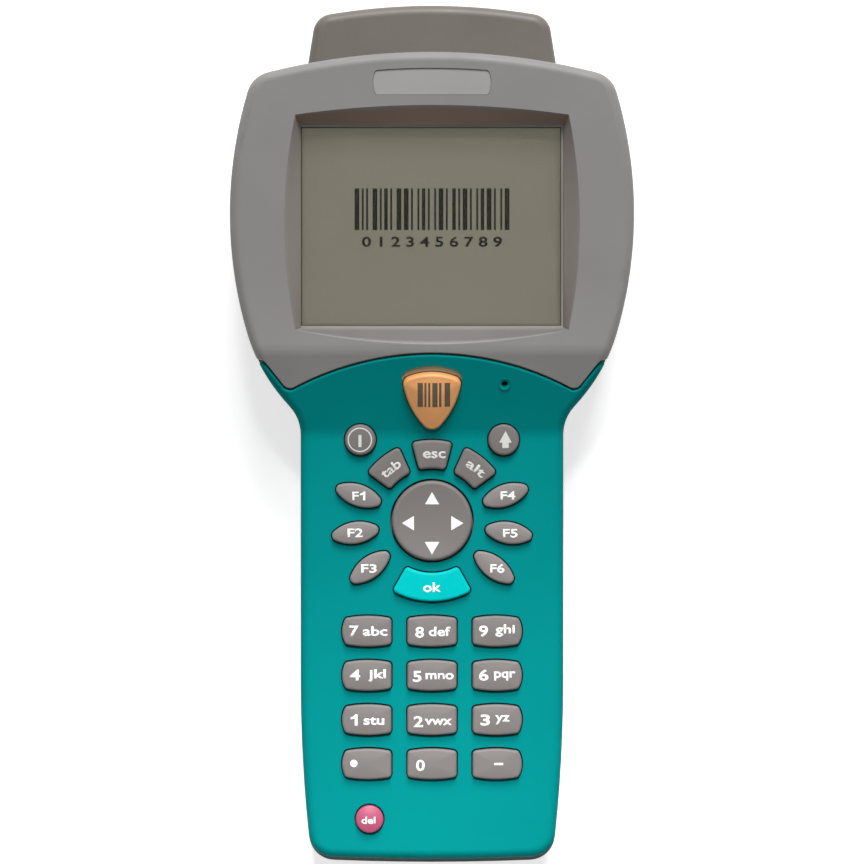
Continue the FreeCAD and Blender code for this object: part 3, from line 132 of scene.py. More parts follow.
def finish_material(tree, shader):
    """Links a shader to a new output."""
    add_node(tree, "ShaderNodeOutputMaterial", {"Surface": shader.outputs[0]})


def blend_colours(tree, share, first, second):
    """Mix of two colours by a share; either colour may be a socket."""
    mix = add_node(tree, "ShaderNodeMix", {0: share}, data_type="RGBA")
    for place, value in ((6, first), (7, second)):
        if isinstance(value, bpy.types.NodeSocket):
            tree.links.new(value, mix.inputs[place])
        else:
            mix.inputs[place].default_value = value
    return mix.outputs[2]


def spread(tree, value, low, high, start=0.3, end=0.7):
    """Maps the range of a value from start to end onto the range from low to high.

    By default start and end hold the useful middle of a noise.
    """
    node = add_node(tree, "ShaderNodeMapRange",
                    {"Value": value, "From Min": start, "From Max": end,
                     "To Min": low, "To Max": high})
    return node.outputs["Result"]


def noise(tree, place, size, detail=2.0, roughness=0.5):
    """Noise whose lumps are about size millimetres."""
    node = add_node(tree, "ShaderNodeTexNoise",
                    {"Vector": place, "Scale": 1 / (size * MM), "Detail": detail,
                     "Roughness": roughness})
    return node.outputs["Fac"]


def moulded_plastic(name, colour, shade, roughness, texture, depth, gloss=0.5, recess=(),
                    body=None):
    """Injection-moulded plastic from a spark-eroded tool.

    The eye sees a fine even grain that breaks up reflections, a slow drift of tone where the
    melt cooled unevenly, and here and there a spot that hands have rubbed smoother. The real
    grain is about 0.05 mm. It is drawn as coarse as texture says and as deep as depth says,
    both in millimetres, so that it shows. With recess, the walls round the display get three
    tones, near, sides and far, that are painted light and shade. With body, a key's sides below
    its top take the darker body colour, painted shade round the key.
    """
    material, tree = empty_material(name)
    place = add_node(tree, "ShaderNodeTexCoord").outputs["Object"]
    drift = noise(tree, place, 18.0, 3.0)
    specks = noise(tree, place, texture * 1.6, 1.0)
    tone = blend_colours(tree, spread(tree, drift, 0.0, 1.0), linear(colour), linear(shade))
    tone = blend_colours(tree, spread(tree, specks, 0.0, 0.22), tone, linear(shade))
    # Painted light and shade: each wall round the display gets a tone that stands in for how light
    # falls on it.
    if recess:
        near, sides, far = recess
        level = add_node(tree, "ShaderNodeSeparateXYZ", {0: place})
        to_near = spread(tree, level.outputs[1], 1.0, 0.0, *PAINTED_SHADE_NEAR_WALL)
        to_far = spread(tree, level.outputs[1], 0.0, 1.0, *PAINTED_SHADE_FAR_WALL)
        painted_wall_tone = blend_colours(tree, to_near, linear(sides), linear(near))
        painted_wall_tone = blend_colours(tree, to_far, painted_wall_tone, linear(far))
        tone = blend_colours(tree, recess_painted_shade_share(tree, place), tone, painted_wall_tone)
    # Painted shade: a key's sides below its top take the dark body colour.
    if body:
        level = add_node(tree, "ShaderNodeSeparateXYZ", {0: place})
        painted_side_shade = spread(tree, level.outputs[2], 1.0, 0.0, KEY_SIDE_SHADE_LOW, KEY_SIDE_SHADE_HIGH)
        tone = blend_colours(tree, painted_side_shade, tone, linear(body))
    rubbed = spread(tree, noise(tree, place, 9.0, 4.0), roughness - 0.03, roughness + 0.03)
    grain = noise(tree, place, texture, 2.0, 0.6)
    bump = add_node(tree, "ShaderNodeBump",
                    {"Height": grain, "Strength": 0.5, "Distance": depth * MM})
    shader = add_node(tree, "ShaderNodeBsdfPrincipled",
                      {"Base Color": tone, "Roughness": rubbed, "Normal": bump.outputs[0],
                       "IOR": 1.5, "Specular IOR Level": gloss})
    finish_material(tree, shader)
    return material


def recess_painted_shade_share(tree, place):
    """Share of the painted wall tones: from 0 at the recess's rim to 1 a little under it, and 0
    outside the recess.
    """
    centred = add_node(tree, "ShaderNodeVectorMath", {0: place, 1: RECESS_MIDDLE},
                       operation="SUBTRACT")
    shares = (1 / RECESS_HALF_WIDTH, 1 / RECESS_HALF_LENGTH, 0.0)
    scaled = add_node(tree, "ShaderNodeVectorMath", {0: centred.outputs[0], 1: shares},
                      operation="MULTIPLY")
    apart = add_node(tree, "ShaderNodeVectorMath", {0: scaled.outputs[0]}, operation="ABSOLUTE")
    parts = add_node(tree, "ShaderNodeSeparateXYZ", {0: apart.outputs[0]})
    widest = add_node(tree, "ShaderNodeMath", {0: parts.outputs[0], 1: parts.outputs[1]},
                      operation="MAXIMUM")
    inside = add_node(tree, "ShaderNodeMath", {0: widest.outputs[0], 1: 1.0},
                      operation="LESS_THAN")
    level = add_node(tree, "ShaderNodeSeparateXYZ", {0: place})
    depth = add_node(tree, "ShaderNodeMapRange",
                     {"Value": level.outputs[2], "From Min": PAINTED_SHADE_START,
                      "From Max": PAINTED_SHADE_FULL, "To Min": 0.0, "To Max": 1.0})
    share = add_node(tree, "ShaderNodeMath",
                     {0: inside.outputs[0], 1: depth.outputs["Result"]}, operation="MULTIPLY")
    return share.outputs[0]


def printed_ink(name, colour, shade, gloss=0.5):
    """Pad-printed ink: nearly even, a little thin and pitted where the pad let go."""
    material, tree = empty_material(name)
    place = add_node(tree, "ShaderNodeTexCoord").outputs["Object"]
    thin = noise(tree, place, 0.35, 3.0)
    tone = blend_colours(tree, spread(tree, thin, 0.0, 1.0, 0.35, 0.9), linear(colour),
                         linear(shade))
    bump = add_node(tree, "ShaderNodeBump",
                    {"Height": thin, "Strength": 0.25, "Distance": 0.01 * MM})
    shader = add_node(tree, "ShaderNodeBsdfPrincipled",
                      {"Base Color": tone, "Roughness": 0.45, "Normal": bump.outputs[0],
                       "Specular IOR Level": gloss})
    finish_material(tree, shader)
    return material


def clear_sheet(name, tint, roughness):
    """Hard-coated acrylic sheet with a matched outer coat.

    It is clear, and faint wiping marks show only in its gloss. The coat's low reflection is
    reached by a low index.
    """
    material, tree = empty_material(name)
    place = add_node(tree, "ShaderNodeTexCoord").outputs["Object"]
    wiped = add_node(tree, "ShaderNodeMapping", {"Vector": place, "Scale": (1.0, 0.12, 1.0)})
    marks = noise(tree, wiped.outputs[0], 0.6, 4.0)
    gloss = spread(tree, marks, roughness, roughness + 0.03)
    sheet = add_node(tree, "ShaderNodeBsdfPrincipled",
                     {"Base Color": linear(tint), "Roughness": gloss, "IOR": 1.15,
                      "Transmission Weight": 1.0})
    passing = add_node(tree, "ShaderNodeBsdfTransparent", {"Color": linear(tint)})
    ray = add_node(tree, "ShaderNodeLightPath")
    mix = add_node(tree, "ShaderNodeMixShader",
                   {0: ray.outputs["Is Shadow Ray"], 1: sheet.outputs[0],
                    2: passing.outputs[0]})
    finish_material(tree, mix)
    return material


def display_face(name, colour, shade, lit):
    """Liquid-crystal face, switched on: satin polariser over a fine grid of lit dots.

    The real dots are 0.2 mm apart. They are drawn 0.25 mm apart, one pixel of the front view. The
    glow stands for the backlight and is also painted light: it fills the shadow that the recess's
    wall casts on the face.
    """
    material, tree = empty_material(name)
    place = add_node(tree, "ShaderNodeTexCoord").outputs["Object"]
    grid = add_node(tree, "ShaderNodeTexBrick",
                    {"Vector": place, "Color1": linear(colour), "Color2": linear(colour),
                     "Mortar": linear(shade), "Scale": 1.0, "Mortar Size": 0.03 * MM,
                     "Brick Width": 0.25 * MM, "Row Height": 0.25 * MM, "Mortar Smooth": 0.4},
                    offset=0.0, squash=1.0)
    cloud = noise(tree, place, 14.0, 2.0)
    tone = blend_colours(tree, spread(tree, cloud, 0.0, 0.35), grid.outputs["Color"],
                         linear(shade))
    # The glow is the backlight and also painted light that fills the shadow on the face.
    shader = add_node(tree, "ShaderNodeBsdfPrincipled",
                      {"Base Color": tone, "Roughness": 0.5, "Specular IOR Level": 0.2,
                       "Emission Color": linear(lit), "Emission Strength": 1.0})
    finish_material(tree, shader)
    return material


def plated_metal(name, colour, shade, roughness, stretch=(1.0, 1.0, 1.0)):
    """Plated or rolled metal: fine lines along the way it was worked, duller blotches."""
    material, tree = empty_material(name)
    place = add_node(tree, "ShaderNodeTexCoord").outputs["Object"]
    worked = add_node(tree, "ShaderNodeMapping", {"Vector": place, "Scale": stretch})
    lines = noise(tree, worked.outputs[0], 0.25, 3.0)
    cloud = noise(tree, place, 3.0, 3.0)
    tone = blend_colours(tree, spread(tree, cloud, 0.0, 1.0), linear(colour), linear(shade))
    gloss = spread(tree, lines, roughness - 0.08, roughness + 0.1)
    bump = add_node(tree, "ShaderNodeBump",
                    {"Height": lines, "Strength": 0.3, "Distance": 0.01 * MM})
    shader = add_node(tree, "ShaderNodeBsdfPrincipled",
                      {"Base Color": tone, "Roughness": gloss, "Normal": bump.outputs[0],
                       "Metallic": 1.0})
    finish_material(tree, shader)
    return material


def circuit_board(name, colour, track):
    """Glass-epoxy board under solder mask: copper tracks show through as paler lines."""
    material, tree = empty_material(name)
    place = add_node(tree, "ShaderNodeTexCoord").outputs["Object"]
    tracks = add_node(tree, "ShaderNodeTexBrick",
                      {"Vector": place, "Scale": 1.0, "Mortar Size": 0.12 * MM,
                       "Brick Width": 5.0 * MM, "Row Height": 0.9 * MM,
                       "Color1": linear(colour), "Color2": linear(colour),
                       "Mortar": linear(track)}, offset=0.37)
    weave = noise(tree, place, 0.5, 2.0)
    tone = blend_colours(tree, spread(tree, weave, 0.0, 0.3), tracks.outputs["Color"],
                         linear(track))
    bump = add_node(tree, "ShaderNodeBump",
                    {"Height": tracks.outputs["Fac"], "Strength": 0.4, "Distance": 0.03 * MM})
    shader = add_node(tree, "ShaderNodeBsdfPrincipled",
                      {"Base Color": tone, "Roughness": 0.3, "Normal": bump.outputs[0]})
    finish_material(tree, shader)
    return material


def ribbon_film(name, film, copper):
    """Polyimide ribbon: copper tracks show through the film as paler lines.

    The real tracks are 0.5 mm apart. They are drawn 3.1 mm apart, so that they show: a wave's
    bands are 2 pi / 20 of its pattern's unit apart.
    """
    material, tree = empty_material(name)
    place = add_node(tree, "ShaderNodeTexCoord").outputs["Object"]
    bands = add_node(tree, "ShaderNodeTexWave",
                     {"Vector": place, "Scale": 1 / (10 * MM), "Distortion": 0.0},
                     wave_type="BANDS", bands_direction="X")
    cloud = noise(tree, place, 2.0, 2.0)
    tone = blend_colours(tree, bands.outputs["Fac"], linear(film), linear(copper))
    shader = add_node(tree, "ShaderNodeBsdfPrincipled",
                      {"Base Color": tone, "Roughness": spread(tree, cloud, 0.25, 0.4)})
    finish_material(tree, shader)
    return material


def soft_rubber(name, colour, shade, pores, depth):
    """Moulded silicone or cut foam: dull, with dust-fine pits of about pores millimetres."""
    material, tree = empty_material(name)
    place = add_node(tree, "ShaderNodeTexCoord").outputs["Object"]
    pits = add_node(tree, "ShaderNodeTexVoronoi",
                    {"Vector": place, "Scale": 1 / (pores * MM)}).outputs["Distance"]
    cloud = noise(tree, place, 6.0, 3.0)
    tone = blend_colours(tree, spread(tree, cloud, 0.0, 1.0), linear(colour), linear(shade))
    bump = add_node(tree, "ShaderNodeBump",
                    {"Height": pits, "Strength": 0.5, "Distance": depth * MM})
    shader = add_node(tree, "ShaderNodeBsdfPrincipled",
                      {"Base Color": tone, "Roughness": 0.8, "Normal": bump.outputs[0],
                       "IOR": 1.42})
    finish_material(tree, shader)
    return material


def shrink_film(name, colour, shade):
    """Heat-shrunk vinyl sleeve: glossy, with slack ripples round the cell."""
    material, tree = empty_material(name)
    place = add_node(tree, "ShaderNodeTexCoord").outputs["Object"]
    along = add_node(tree, "ShaderNodeMapping", {"Vector": place, "Scale": (0.3, 1.0, 0.3)})
    ripples = noise(tree, along.outputs[0], 1.6, 2.0)
    tone = blend_colours(tree, spread(tree, ripples, 0.0, 0.5), linear(colour), linear(shade))
    bump = add_node(tree, "ShaderNodeBump",
                    {"Height": ripples, "Strength": 0.4, "Distance": 0.08 * MM})
    shader = add_node(tree, "ShaderNodeBsdfPrincipled",
                      {"Base Color": tone, "Roughness": 0.22, "Normal": bump.outputs[0]})
    finish_material(tree, shader)
    return material


def seen_directly(tree):
    """1 for rays from the camera and for rays of gloss and glass, 0 for light that spreads."""
    ray = add_node(tree, "ShaderNodeLightPath")
    seen = add_node(tree, "ShaderNodeMath",
                    {0: ray.outputs["Is Camera Ray"], 1: ray.outputs["Is Glossy Ray"]},
                    operation="MAXIMUM")
    seen = add_node(tree, "ShaderNodeMath",
                    {0: seen.outputs[0], 1: ray.outputs["Is Transmission Ray"]},
                    operation="MAXIMUM")
    return seen.outputs[0]


def white_floor(name):
    """Matt white card. The camera and gloss see it as white where no shadow falls on it."""
    lift_strength = 0.62
    material, tree = empty_material(name)
    place = add_node(tree, "ShaderNodeTexCoord").outputs["Object"]
    fibre = noise(tree, place, 3.0, 2.0)
    tone = blend_colours(tree, spread(tree, fibre, 0.0, 1.0), linear("#f4f4f4"),
                         linear("#f1f1f1"))
    card = add_node(tree, "ShaderNodeBsdfDiffuse", {"Color": tone})
    lift = add_node(tree, "ShaderNodeMath",
                    {0: seen_directly(tree), 1: lift_strength}, operation="MULTIPLY")
    glow = add_node(tree, "ShaderNodeEmission",
                    {"Color": linear("#ffffff"), "Strength": lift.outputs[0]})
    both = add_node(tree, "ShaderNodeAddShader", {0: card.outputs[0], 1: glow.outputs[0]})
    finish_material(tree, both)
    return material


def clear_selection():
    """Object mode, with nothing selected."""
    if bpy.context.mode != "OBJECT":
        bpy.ops.object.mode_set(mode="OBJECT")
    bpy.ops.object.select_all(action="DESELECT")


def select_only(piece):
    """Object mode, with one piece selected and active."""
    clear_selection()
    piece.select_set(True)
    bpy.context.view_layer.objects.active = piece


def edit_all(piece):
    """Edit mode with the whole piece selected."""
    select_only(piece)
    bpy.ops.object.mode_set(mode="EDIT")
    bpy.ops.mesh.select_all(action="SELECT")


def edit_faces(piece, wanted):
    """Edit mode with the faces selected for which wanted(face) is true. Returns how many."""
    select_only(piece)
    bpy.ops.object.mode_set(mode="EDIT")
    bpy.ops.mesh.select_mode(type="FACE")
    bpy.ops.mesh.select_all(action="DESELECT")
    bpy.ops.object.mode_set(mode="OBJECT")
    for face in piece.data.polygons:
        face.select = bool(wanted(face))
    count = sum(face.select for face in piece.data.polygons)
    bpy.ops.object.mode_set(mode="EDIT")
    return count


def settle(piece):
    """Puts the piece's place, turn and scale into its mesh."""
    select_only(piece)
    bpy.ops.object.transform_apply(location=True, rotation=True, scale=True)


def dress(piece, name, body, material):
    """Names a finished piece, gives it its material and lets it ride on its body."""
    piece.name = name
    piece.data.name = name
    piece.data.materials.clear()
    piece.data.materials.append(material)
    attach(piece, body)


def paint_nodes(material, *names):
    """Gives CAD nodes a material."""
    for name in names:
        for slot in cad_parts[name].material_slots:
            slot.material = material


def node_copy(node):
    """New piece with a copy of a CAD node's mesh, its loose triangles merged."""
    clear_selection()
    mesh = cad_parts[node].data.copy()
    piece = bpy.data.objects.new(node + "_copy", mesh)
    bpy.context.scene.collection.objects.link(piece)
    edit_all(piece)
    bpy.ops.mesh.customdata_custom_splitnormals_clear()
    bpy.ops.mesh.remove_doubles(threshold=0.002 * MM)
    bpy.ops.object.mode_set(mode="OBJECT")
    return piece


def thicken(piece, distance, direction=UP):
    """Extrudes a flat piece along a direction into a closed plate."""
    edit_all(piece)
    bpy.ops.mesh.extrude_region_move(
        TRANSFORM_OT_translate={"value": tuple(direction * distance)})
    bpy.ops.mesh.select_all(action="SELECT")
    bpy.ops.mesh.remove_doubles(threshold=0.0005 * MM)
    bpy.ops.mesh.normals_make_consistent(inside=False)
    bpy.ops.object.mode_set(mode="OBJECT")


def drape(piece, target, lift, depth, direction=UP, cuts=3):
    """Lays a flat piece on the target under it, along the piece's own Z, and gives it depth.

    The piece's face then stands lift above the target, and cuts says how finely its edges are
    divided first, so that it follows a curved target.
    """
    edit_all(piece)
    bpy.ops.mesh.quads_convert_to_tris()
    bpy.ops.mesh.subdivide(number_cuts=cuts)
    select_only(piece)
    wrap = piece.modifiers.new("lie on", "SHRINKWRAP")
    wrap.target = target
    wrap.wrap_method = "PROJECT"
    wrap.use_project_z = True
    wrap.use_negative_direction = True
    wrap.use_positive_direction = False
    wrap.offset = lift
    bpy.ops.object.modifier_apply(modifier=wrap.name)
    thicken(piece, -depth, direction)
    settle(piece)


def flat_words(text, left, right, base, cap, turn, height):
    """Bold flat words that fill left to right and stand on base.

    These and the capital height cap are in millimetres, turn is in degrees and height, the
    level of the flat words, is in metres. The letters are made bold by an outline offset, so
    a capital is 0.75 high at the font's size of 1 and reaches 0.03 of that under its base line.
    """
    bold = 0.024
    font_cap = 0.75
    under = 0.03
    clear_selection()
    bpy.ops.object.text_add()
    words = bpy.context.object
    words.data.body = text
    words.data.offset = bold
    words.data.resolution_u = 4
    bpy.ops.object.convert(target="MESH")
    words = bpy.context.object
    across = [corner.co.x for corner in words.data.vertices]
    scale_x = (right - left) * MM / (max(across) - min(across))
    scale_y = cap * MM / font_cap
    middle = (max(across) + min(across)) / 2
    centre = Vector(((left + right) / 2 * MM, (base + cap / 2) * MM, height))
    words.location = (-middle * scale_x, -(cap / 2 - under * cap) * MM, 0)
    words.scale = (scale_x, scale_y, 1)
    settle(words)
    words.rotation_euler = (0, 0, radians(turn))
    words.location = centre
    settle(words)
    return words


def flat_polygon(corners, height):
    """Flat face on corners in millimetres, started from a circle with as many corners.

    Its height, like that of all flat shapes here, is in metres.
    """
    clear_selection()
    bpy.ops.mesh.primitive_circle_add(vertices=len(corners), radius=MM, fill_type="NGON")
    piece = bpy.context.object
    for corner, (x, y) in zip(piece.data.vertices, corners):
        corner.co = (x * MM, y * MM, height)
    settle(piece)
    return piece


def figure_one(left, base, cap, height):
    """Flat bold figure 1 whose flag starts at left and whose foot stands on base."""
    corners = [(0.36, 0.0), (0.62, 0.0), (0.62, 1.0), (0.42, 1.0), (0.24, 0.82),
               (0.0, 0.74), (0.0, 0.54), (0.36, 0.64)]
    return flat_polygon([(left + x * cap, base + y * cap) for x, y in corners], height)


def flat_ring(x, y, outer, inner, height):
    """Flat ring, made from a disc by an inset whose middle is taken out."""
    clear_selection()
    bpy.ops.mesh.primitive_circle_add(vertices=64, radius=outer * MM, fill_type="NGON",
                                      location=(x * MM, y * MM, height))
    piece = bpy.context.object
    edit_all(piece)
    bpy.ops.mesh.inset(thickness=(outer - inner) * MM, depth=0)
    bpy.ops.mesh.delete(type="FACE")
    settle(piece)
    return piece


def flat_disc(x, y, radius, height):
    """Flat disc."""
    clear_selection()
    bpy.ops.mesh.primitive_circle_add(vertices=40, radius=radius * MM, fill_type="NGON",
                                      location=(x * MM, y * MM, height))
    piece = bpy.context.object
    settle(piece)
    return piece


def flat_box(left, right, low, high, height):
    """Flat rectangle."""
    return flat_polygon([(left, low), (right, low), (right, high), (left, high)], height)


def joined(pieces):
    """One piece from several."""
    clear_selection()
    for piece in pieces:
        piece.select_set(True)
    bpy.context.view_layer.objects.active = pieces[0]
    bpy.ops.object.join()
    return bpy.context.object


class TerminalFinish(bpy.types.PropertyGroup):
    """Colours of the terminal's visible pieces."""

    case: FloatVectorProperty(
        name="Case", description="Grey of the bezel and the back shell", subtype="COLOR",
        size=3, min=0, max=1, default=linear("#8e8c8a")[:3])
    grip: FloatVectorProperty(
        name="Grip", description="Colour of the grip's front shell", subtype="COLOR",
        size=3, min=0, max=1, default=linear("#008787")[:3])
    keys: FloatVectorProperty(
        name="Keys", description="Grey of the keys", subtype="COLOR",
        size=3, min=0, max=1, default=linear("#777270")[:3])


class TerminalSizes(bpy.types.PropertyGroup):
    """Sizes of the printed and fitted details."""

    ink: FloatProperty(
        name="Ink", description="How far printed legends stand above the keys",
        subtype="DISTANCE", default=0.03 * MM, min=0)
    sunk: FloatProperty(
        name="Ink depth", description="How deep legends reach from their face into the keys",
        subtype="DISTANCE", default=0.08 * MM, min=0)
    crown: FloatProperty(
        name="Crown", description="How much the middle of a key stands above its rim",
        subtype="DISTANCE", default=0.24 * MM, min=0)


class TerminalStage(bpy.types.PropertyGroup):
    """Lamps, room light and camera."""

    key_power: FloatProperty(
        name="Main lamp", description="Power of the lamp beyond the scan head",
        subtype="POWER", default=20.0, min=0)
    low_power: FloatProperty(
        name="Grip lamp", description="Power of the spot on the lower grip",
        subtype="POWER", default=54.0, min=0)
    room: FloatProperty(
        name="Room light", description="Strength of the even white light all round",
        default=0.22, min=0)
    lens: FloatProperty(
        name="Lens", description="Focal length of the camera in millimetres",
        subtype="DISTANCE_CAMERA", default=150.0, min=1)


class TERMINAL_OT_case(bpy.types.Operator):
    """Finishes of the bezel, grip shell, back shell, scan head cover, door and badge"""

    bl_idname = "terminal.case"
    bl_label = "Case"

    def execute(self, context):
        finish = context.scene.terminal_finish
        case = hex_of(finish.case)
        # The three recess colours, near, sides and far, are painted light and shade on the walls
        # round the display.
        bezel = moulded_plastic("ABS polycarbonate, fine spark texture", case,
                                hex_of(finish.case, 0.93), 0.52, 0.45, 0.02, gloss=0.35,
                                recess=("#676463", "#8b847e", "#8f786b"))
        back = moulded_plastic("ABS polycarbonate, coarse spark texture",
                               hex_of(finish.case, 0.8), hex_of(finish.case, 0.72),
                               0.58, 0.6, 0.04)
        head = moulded_plastic("Glass-filled polycarbonate, moulded", "#706963", "#68625c",
                               0.5, 0.5, 0.03)
        grip = moulded_plastic("Soft-touch lacquer on polycarbonate", hex_of(finish.grip),
                               hex_of(finish.grip, 0.95), 0.62, 0.4, 0.015, gloss=0.03)
        badge = moulded_plastic("Satin lacquered plate", "#a8a6a4", "#a09e9c", 0.35, 0.3,
                                0.006)
        paint_nodes(bezel, "front_bezel")
        paint_nodes(back, "rear_shell", "battery_door")
        paint_nodes(head, "scan_head_cover")
        paint_nodes(grip, "front_grip_shell")
        paint_nodes(badge, "name_plate")
        return {"FINISHED"}


def domed_key(node, crown, material, middle=(0.0, 0.0, 0.0), up=UP):
    """Copy of a key's CAD solid whose flat top rises to a soft crown. It replaces the node.

    The crown's highest point is middle millimetres away from the middle of the key's box.
    """
    piece = node_copy(node)
    top = max(corner.co.dot(up) for corner in piece.data.vertices)
    found = edit_faces(piece, lambda face: face.normal.dot(up) > 0.999
                       and abs(face.center.dot(up) - top) < 0.01 * MM)
    if not found:
        raise RuntimeError("no flat top was found on " + node)
    bpy.ops.mesh.dissolve_faces()
    low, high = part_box(node)
    centre = (low + high) / 2 + Vector(middle) * MM
    centre += up * (top - centre.dot(up))
    reached = 1.0
    for step in CROWN_STEPS:
        rise = up * (reached ** 2 - step ** 2) * crown
        scale = step / reached
        bpy.ops.mesh.extrude_region_move(TRANSFORM_OT_translate={"value": tuple(rise)})
        centre += rise
        bpy.ops.transform.resize(value=(scale, scale, scale), center_override=centre)
        reached = step
    bpy.ops.object.mode_set(mode="OBJECT")
    select_only(piece)
    bpy.ops.object.shade_smooth_by_angle(angle=radians(40))
    dress(piece, node + "_cap", node, material)
    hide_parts(node)


class TERMINAL_OT_keys(bpy.types.Operator):
    """Keys with softly crowned tops, and the finishes of the scan key and the round control"""

    bl_idname = "terminal.keys"
    bl_label = "Keys"

    def execute(self, context):
        finish = context.scene.terminal_finish
        crown = context.scene.terminal_sizes.crown

        def coated(name, colour, shade, body=KEY_SIDE_SHADE):
            """Hard coat on a key, with the factors of the key grey for its two tones."""
            return moulded_plastic("Hard-coated polycarbonate " + name,
                                   hex_of(finish.keys, colour), hex_of(finish.keys, shade),
                                   0.5, 0.35, 0.01, gloss=0.3, body=body)

        grey = coated("key", 1.0, 0.93)
        pale = coated("key, paler", 1.24, 1.16)
        dark = coated("key, darker", 0.92, 0.86)
        disc = coated("disc", 0.96, 0.9, None)
        # The body colours of the next two keys are painted shade on their sides.
        aqua = moulded_plastic("Tinted polycarbonate key", "#00c1c1", "#00b8b8", 0.38, 0.5,
                               0.006, gloss=0.05, body="#04504f")
        pink = moulded_plastic("Pigmented polycarbonate key", "#ab4868", "#a24362", 0.45, 0.4,
                               0.008, body="#4a1a26")
        amber = moulded_plastic("Lacquered polycarbonate scan key", "#eaa567", "#e19c5f",
                                0.42, 0.4, 0.01)
        for node in NUMBER_KEYS:
            domed_key(node, crown, grey)
        for node in ROUND_KEYS:
            domed_key(node, crown * 0.5, dark)
        for node in FUNCTION_KEYS:
            domed_key(node, crown * 0.8, pale)
        for node in RING_KEYS:
            domed_key(node, crown * 0.5, dark)
        domed_key("ok_key", crown * 0.3, aqua, (0.0, -0.6, 0.0))
        domed_key("delete_key", crown * 1.6, pink)
        domed_key("scan_key", crown * 3.0, amber, (0.0, 0.6, 0.0), NECK_UP)
        paint_nodes(disc, "nav_disc")
        return {"FINISHED"}


# Words on the keys: key, text, left, right, base, capital height and turn of flat_words
LEGENDS = (
    ("key_7", "7", -20.7, -18.3, -50.3, 2.8, 0), ("key_7", "abc", -17.3, -11.1, -50.1, 2.4, 0),
    ("key_8", "8", -4.2, -2.0, -50.6, 2.8, 0), ("key_8", "def", -0.8, 4.6, -50.2, 2.4, 0),
    ("key_9", "9", 11.7, 14.0, -50.3, 2.8, 0), ("key_9", "ghi", 15.8, 20.7, -49.6, 2.4, 0),
    ("key_4", "4", -20.5, -17.9, -61.3, 2.8, 0), ("key_4", "jkl", -15.9, -11.5, -60.8, 2.4, 0),
    ("key_5", "5", -4.8, -2.6, -61.6, 2.8, 0), ("key_5", "mno", -1.6, 5.4, -61.0, 2.4, 0),
    ("key_6", "6", 11.7, 14.1, -61.3, 2.8, 0), ("key_6", "pqr", 15.5, 20.8, -60.6, 2.4, 0),
    ("key_1", "stu", -17.1, -11.9, -72.3, 2.4, 0),
    ("key_2", "2", -4.6, -2.2, -72.9, 2.8, 0), ("key_2", "vwx", -1.8, 5.0, -72.4, 2.4, 0),
    ("key_3", "3", 12.1, 14.5, -72.5, 2.8, 0), ("key_3", "yz", 15.8, 19.4, -71.5, 2.4, 0),
    ("key_0", "0", -4.0, -1.8, -83.8, 2.8, 0),
    ("f1_key", "F", -19.9, -18.3, -16.3, 2.2, 0), ("f2_key", "F2", -21.1, -17.2, -25.5, 2.2, 0),
    ("f3_key", "F3", -17.7, -13.8, -34.4, 2.2, 0), ("f4_key", "F4", 17.1, 20.8, -16.2, 2.2, 0),
    ("f5_key", "F5", 17.7, 21.4, -25.6, 2.2, 0), ("f6_key", "F6", 14.5, 18.1, -34.4, 2.2, 0),
    ("esc_key", "esc", -2.3, 3.4, -5.8, 2.6, 0), ("ok_key", "ok", -2.2, 2.3, -39.2, 2.5, 0),
    ("tab_key", "tab", -13.1, -7.6, -9.6, 2.4, 38), ("alt_key", "alt", 8.4, 13.7, -9.5, 2.4, -38),
    ("delete_key", "del", -17.6, -14.1, -97.0, 1.8, 0),
)


class TERMINAL_OT_legends(bpy.types.Operator):
    """Printed words, numbers and signs on the keys"""

    bl_idname = "terminal.legends"
    bl_label = "Legends"

    def execute(self, context):
        sizes = context.scene.terminal_sizes
        # The flat legends start above every key and are then laid down on it
        above = 34 * MM
        white = printed_ink("White pad-printed ink", "#fbfbfa", "#e4e6e4")
        grey = printed_ink("Grey pad-printed ink", "#d5d6d2", "#c3c5c1")
        by_key = {}
        for key, text, left, right, base, cap, turn in LEGENDS:
            words = flat_words(text, left, right, base, cap, turn, above)
            by_key.setdefault(key, []).append(words)
        by_key["key_1"].append(figure_one(-20.3, -72.5, 2.8, above))
        by_key["f1_key"].append(figure_one(-18.0, -16.3, 2.2, above))
        by_key["key_dot"] = [flat_disc(-19.5, -81.95, 0.92, above)]
        by_key["key_dash"] = [flat_box(15.5, 17.75, -82.35, -81.8, above)]
        by_key["power_key"] = [flat_ring(-18.0, -1.2, 3.05, 2.75, above),
                               flat_box(-18.35, -17.6, -3.0, 0.0, above)]
        arrow = [(16.75, -1.9), (17.55, -1.9), (17.55, -3.25), (19.15, -3.25),
                 (19.15, -1.9), (19.9, -1.9), (18.35, 1.0)]
        by_key["shift_key"] = [flat_polygon(arrow, above)]
        for key, flats in by_key.items():
            piece = joined(flats)
            drape(piece, bpy.data.objects[key + "_cap"], sizes.ink, sizes.sunk)
            ink = grey if key in ROUND_KEYS + RING_KEYS else white
            dress(piece, key + "_print", key, ink)
        arrows = [flat_polygon([(-1.75, -17.3), (1.8, -17.3), (0.0, -14.2)], above),
                  flat_polygon([(-1.8, -26.7), (0.0, -29.8), (1.8, -26.7)], above),
                  flat_polygon([(-4.5, -23.8), (-4.5, -20.2), (-7.5, -22.0)], above),
                  flat_polygon([(4.8, -23.8), (7.8, -22.0), (4.8, -20.2)], above)]
        piece = joined(arrows)
        drape(piece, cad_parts["nav_disc"], sizes.ink, sizes.sunk)
        dress(piece, "nav_arrows", "nav_disc", white)
        return {"FINISHED"}


def neck_height(point):
    """Distance of a point above the neck's sloping face."""
    return (point - NECK_ORIGIN).dot(NECK_UP)


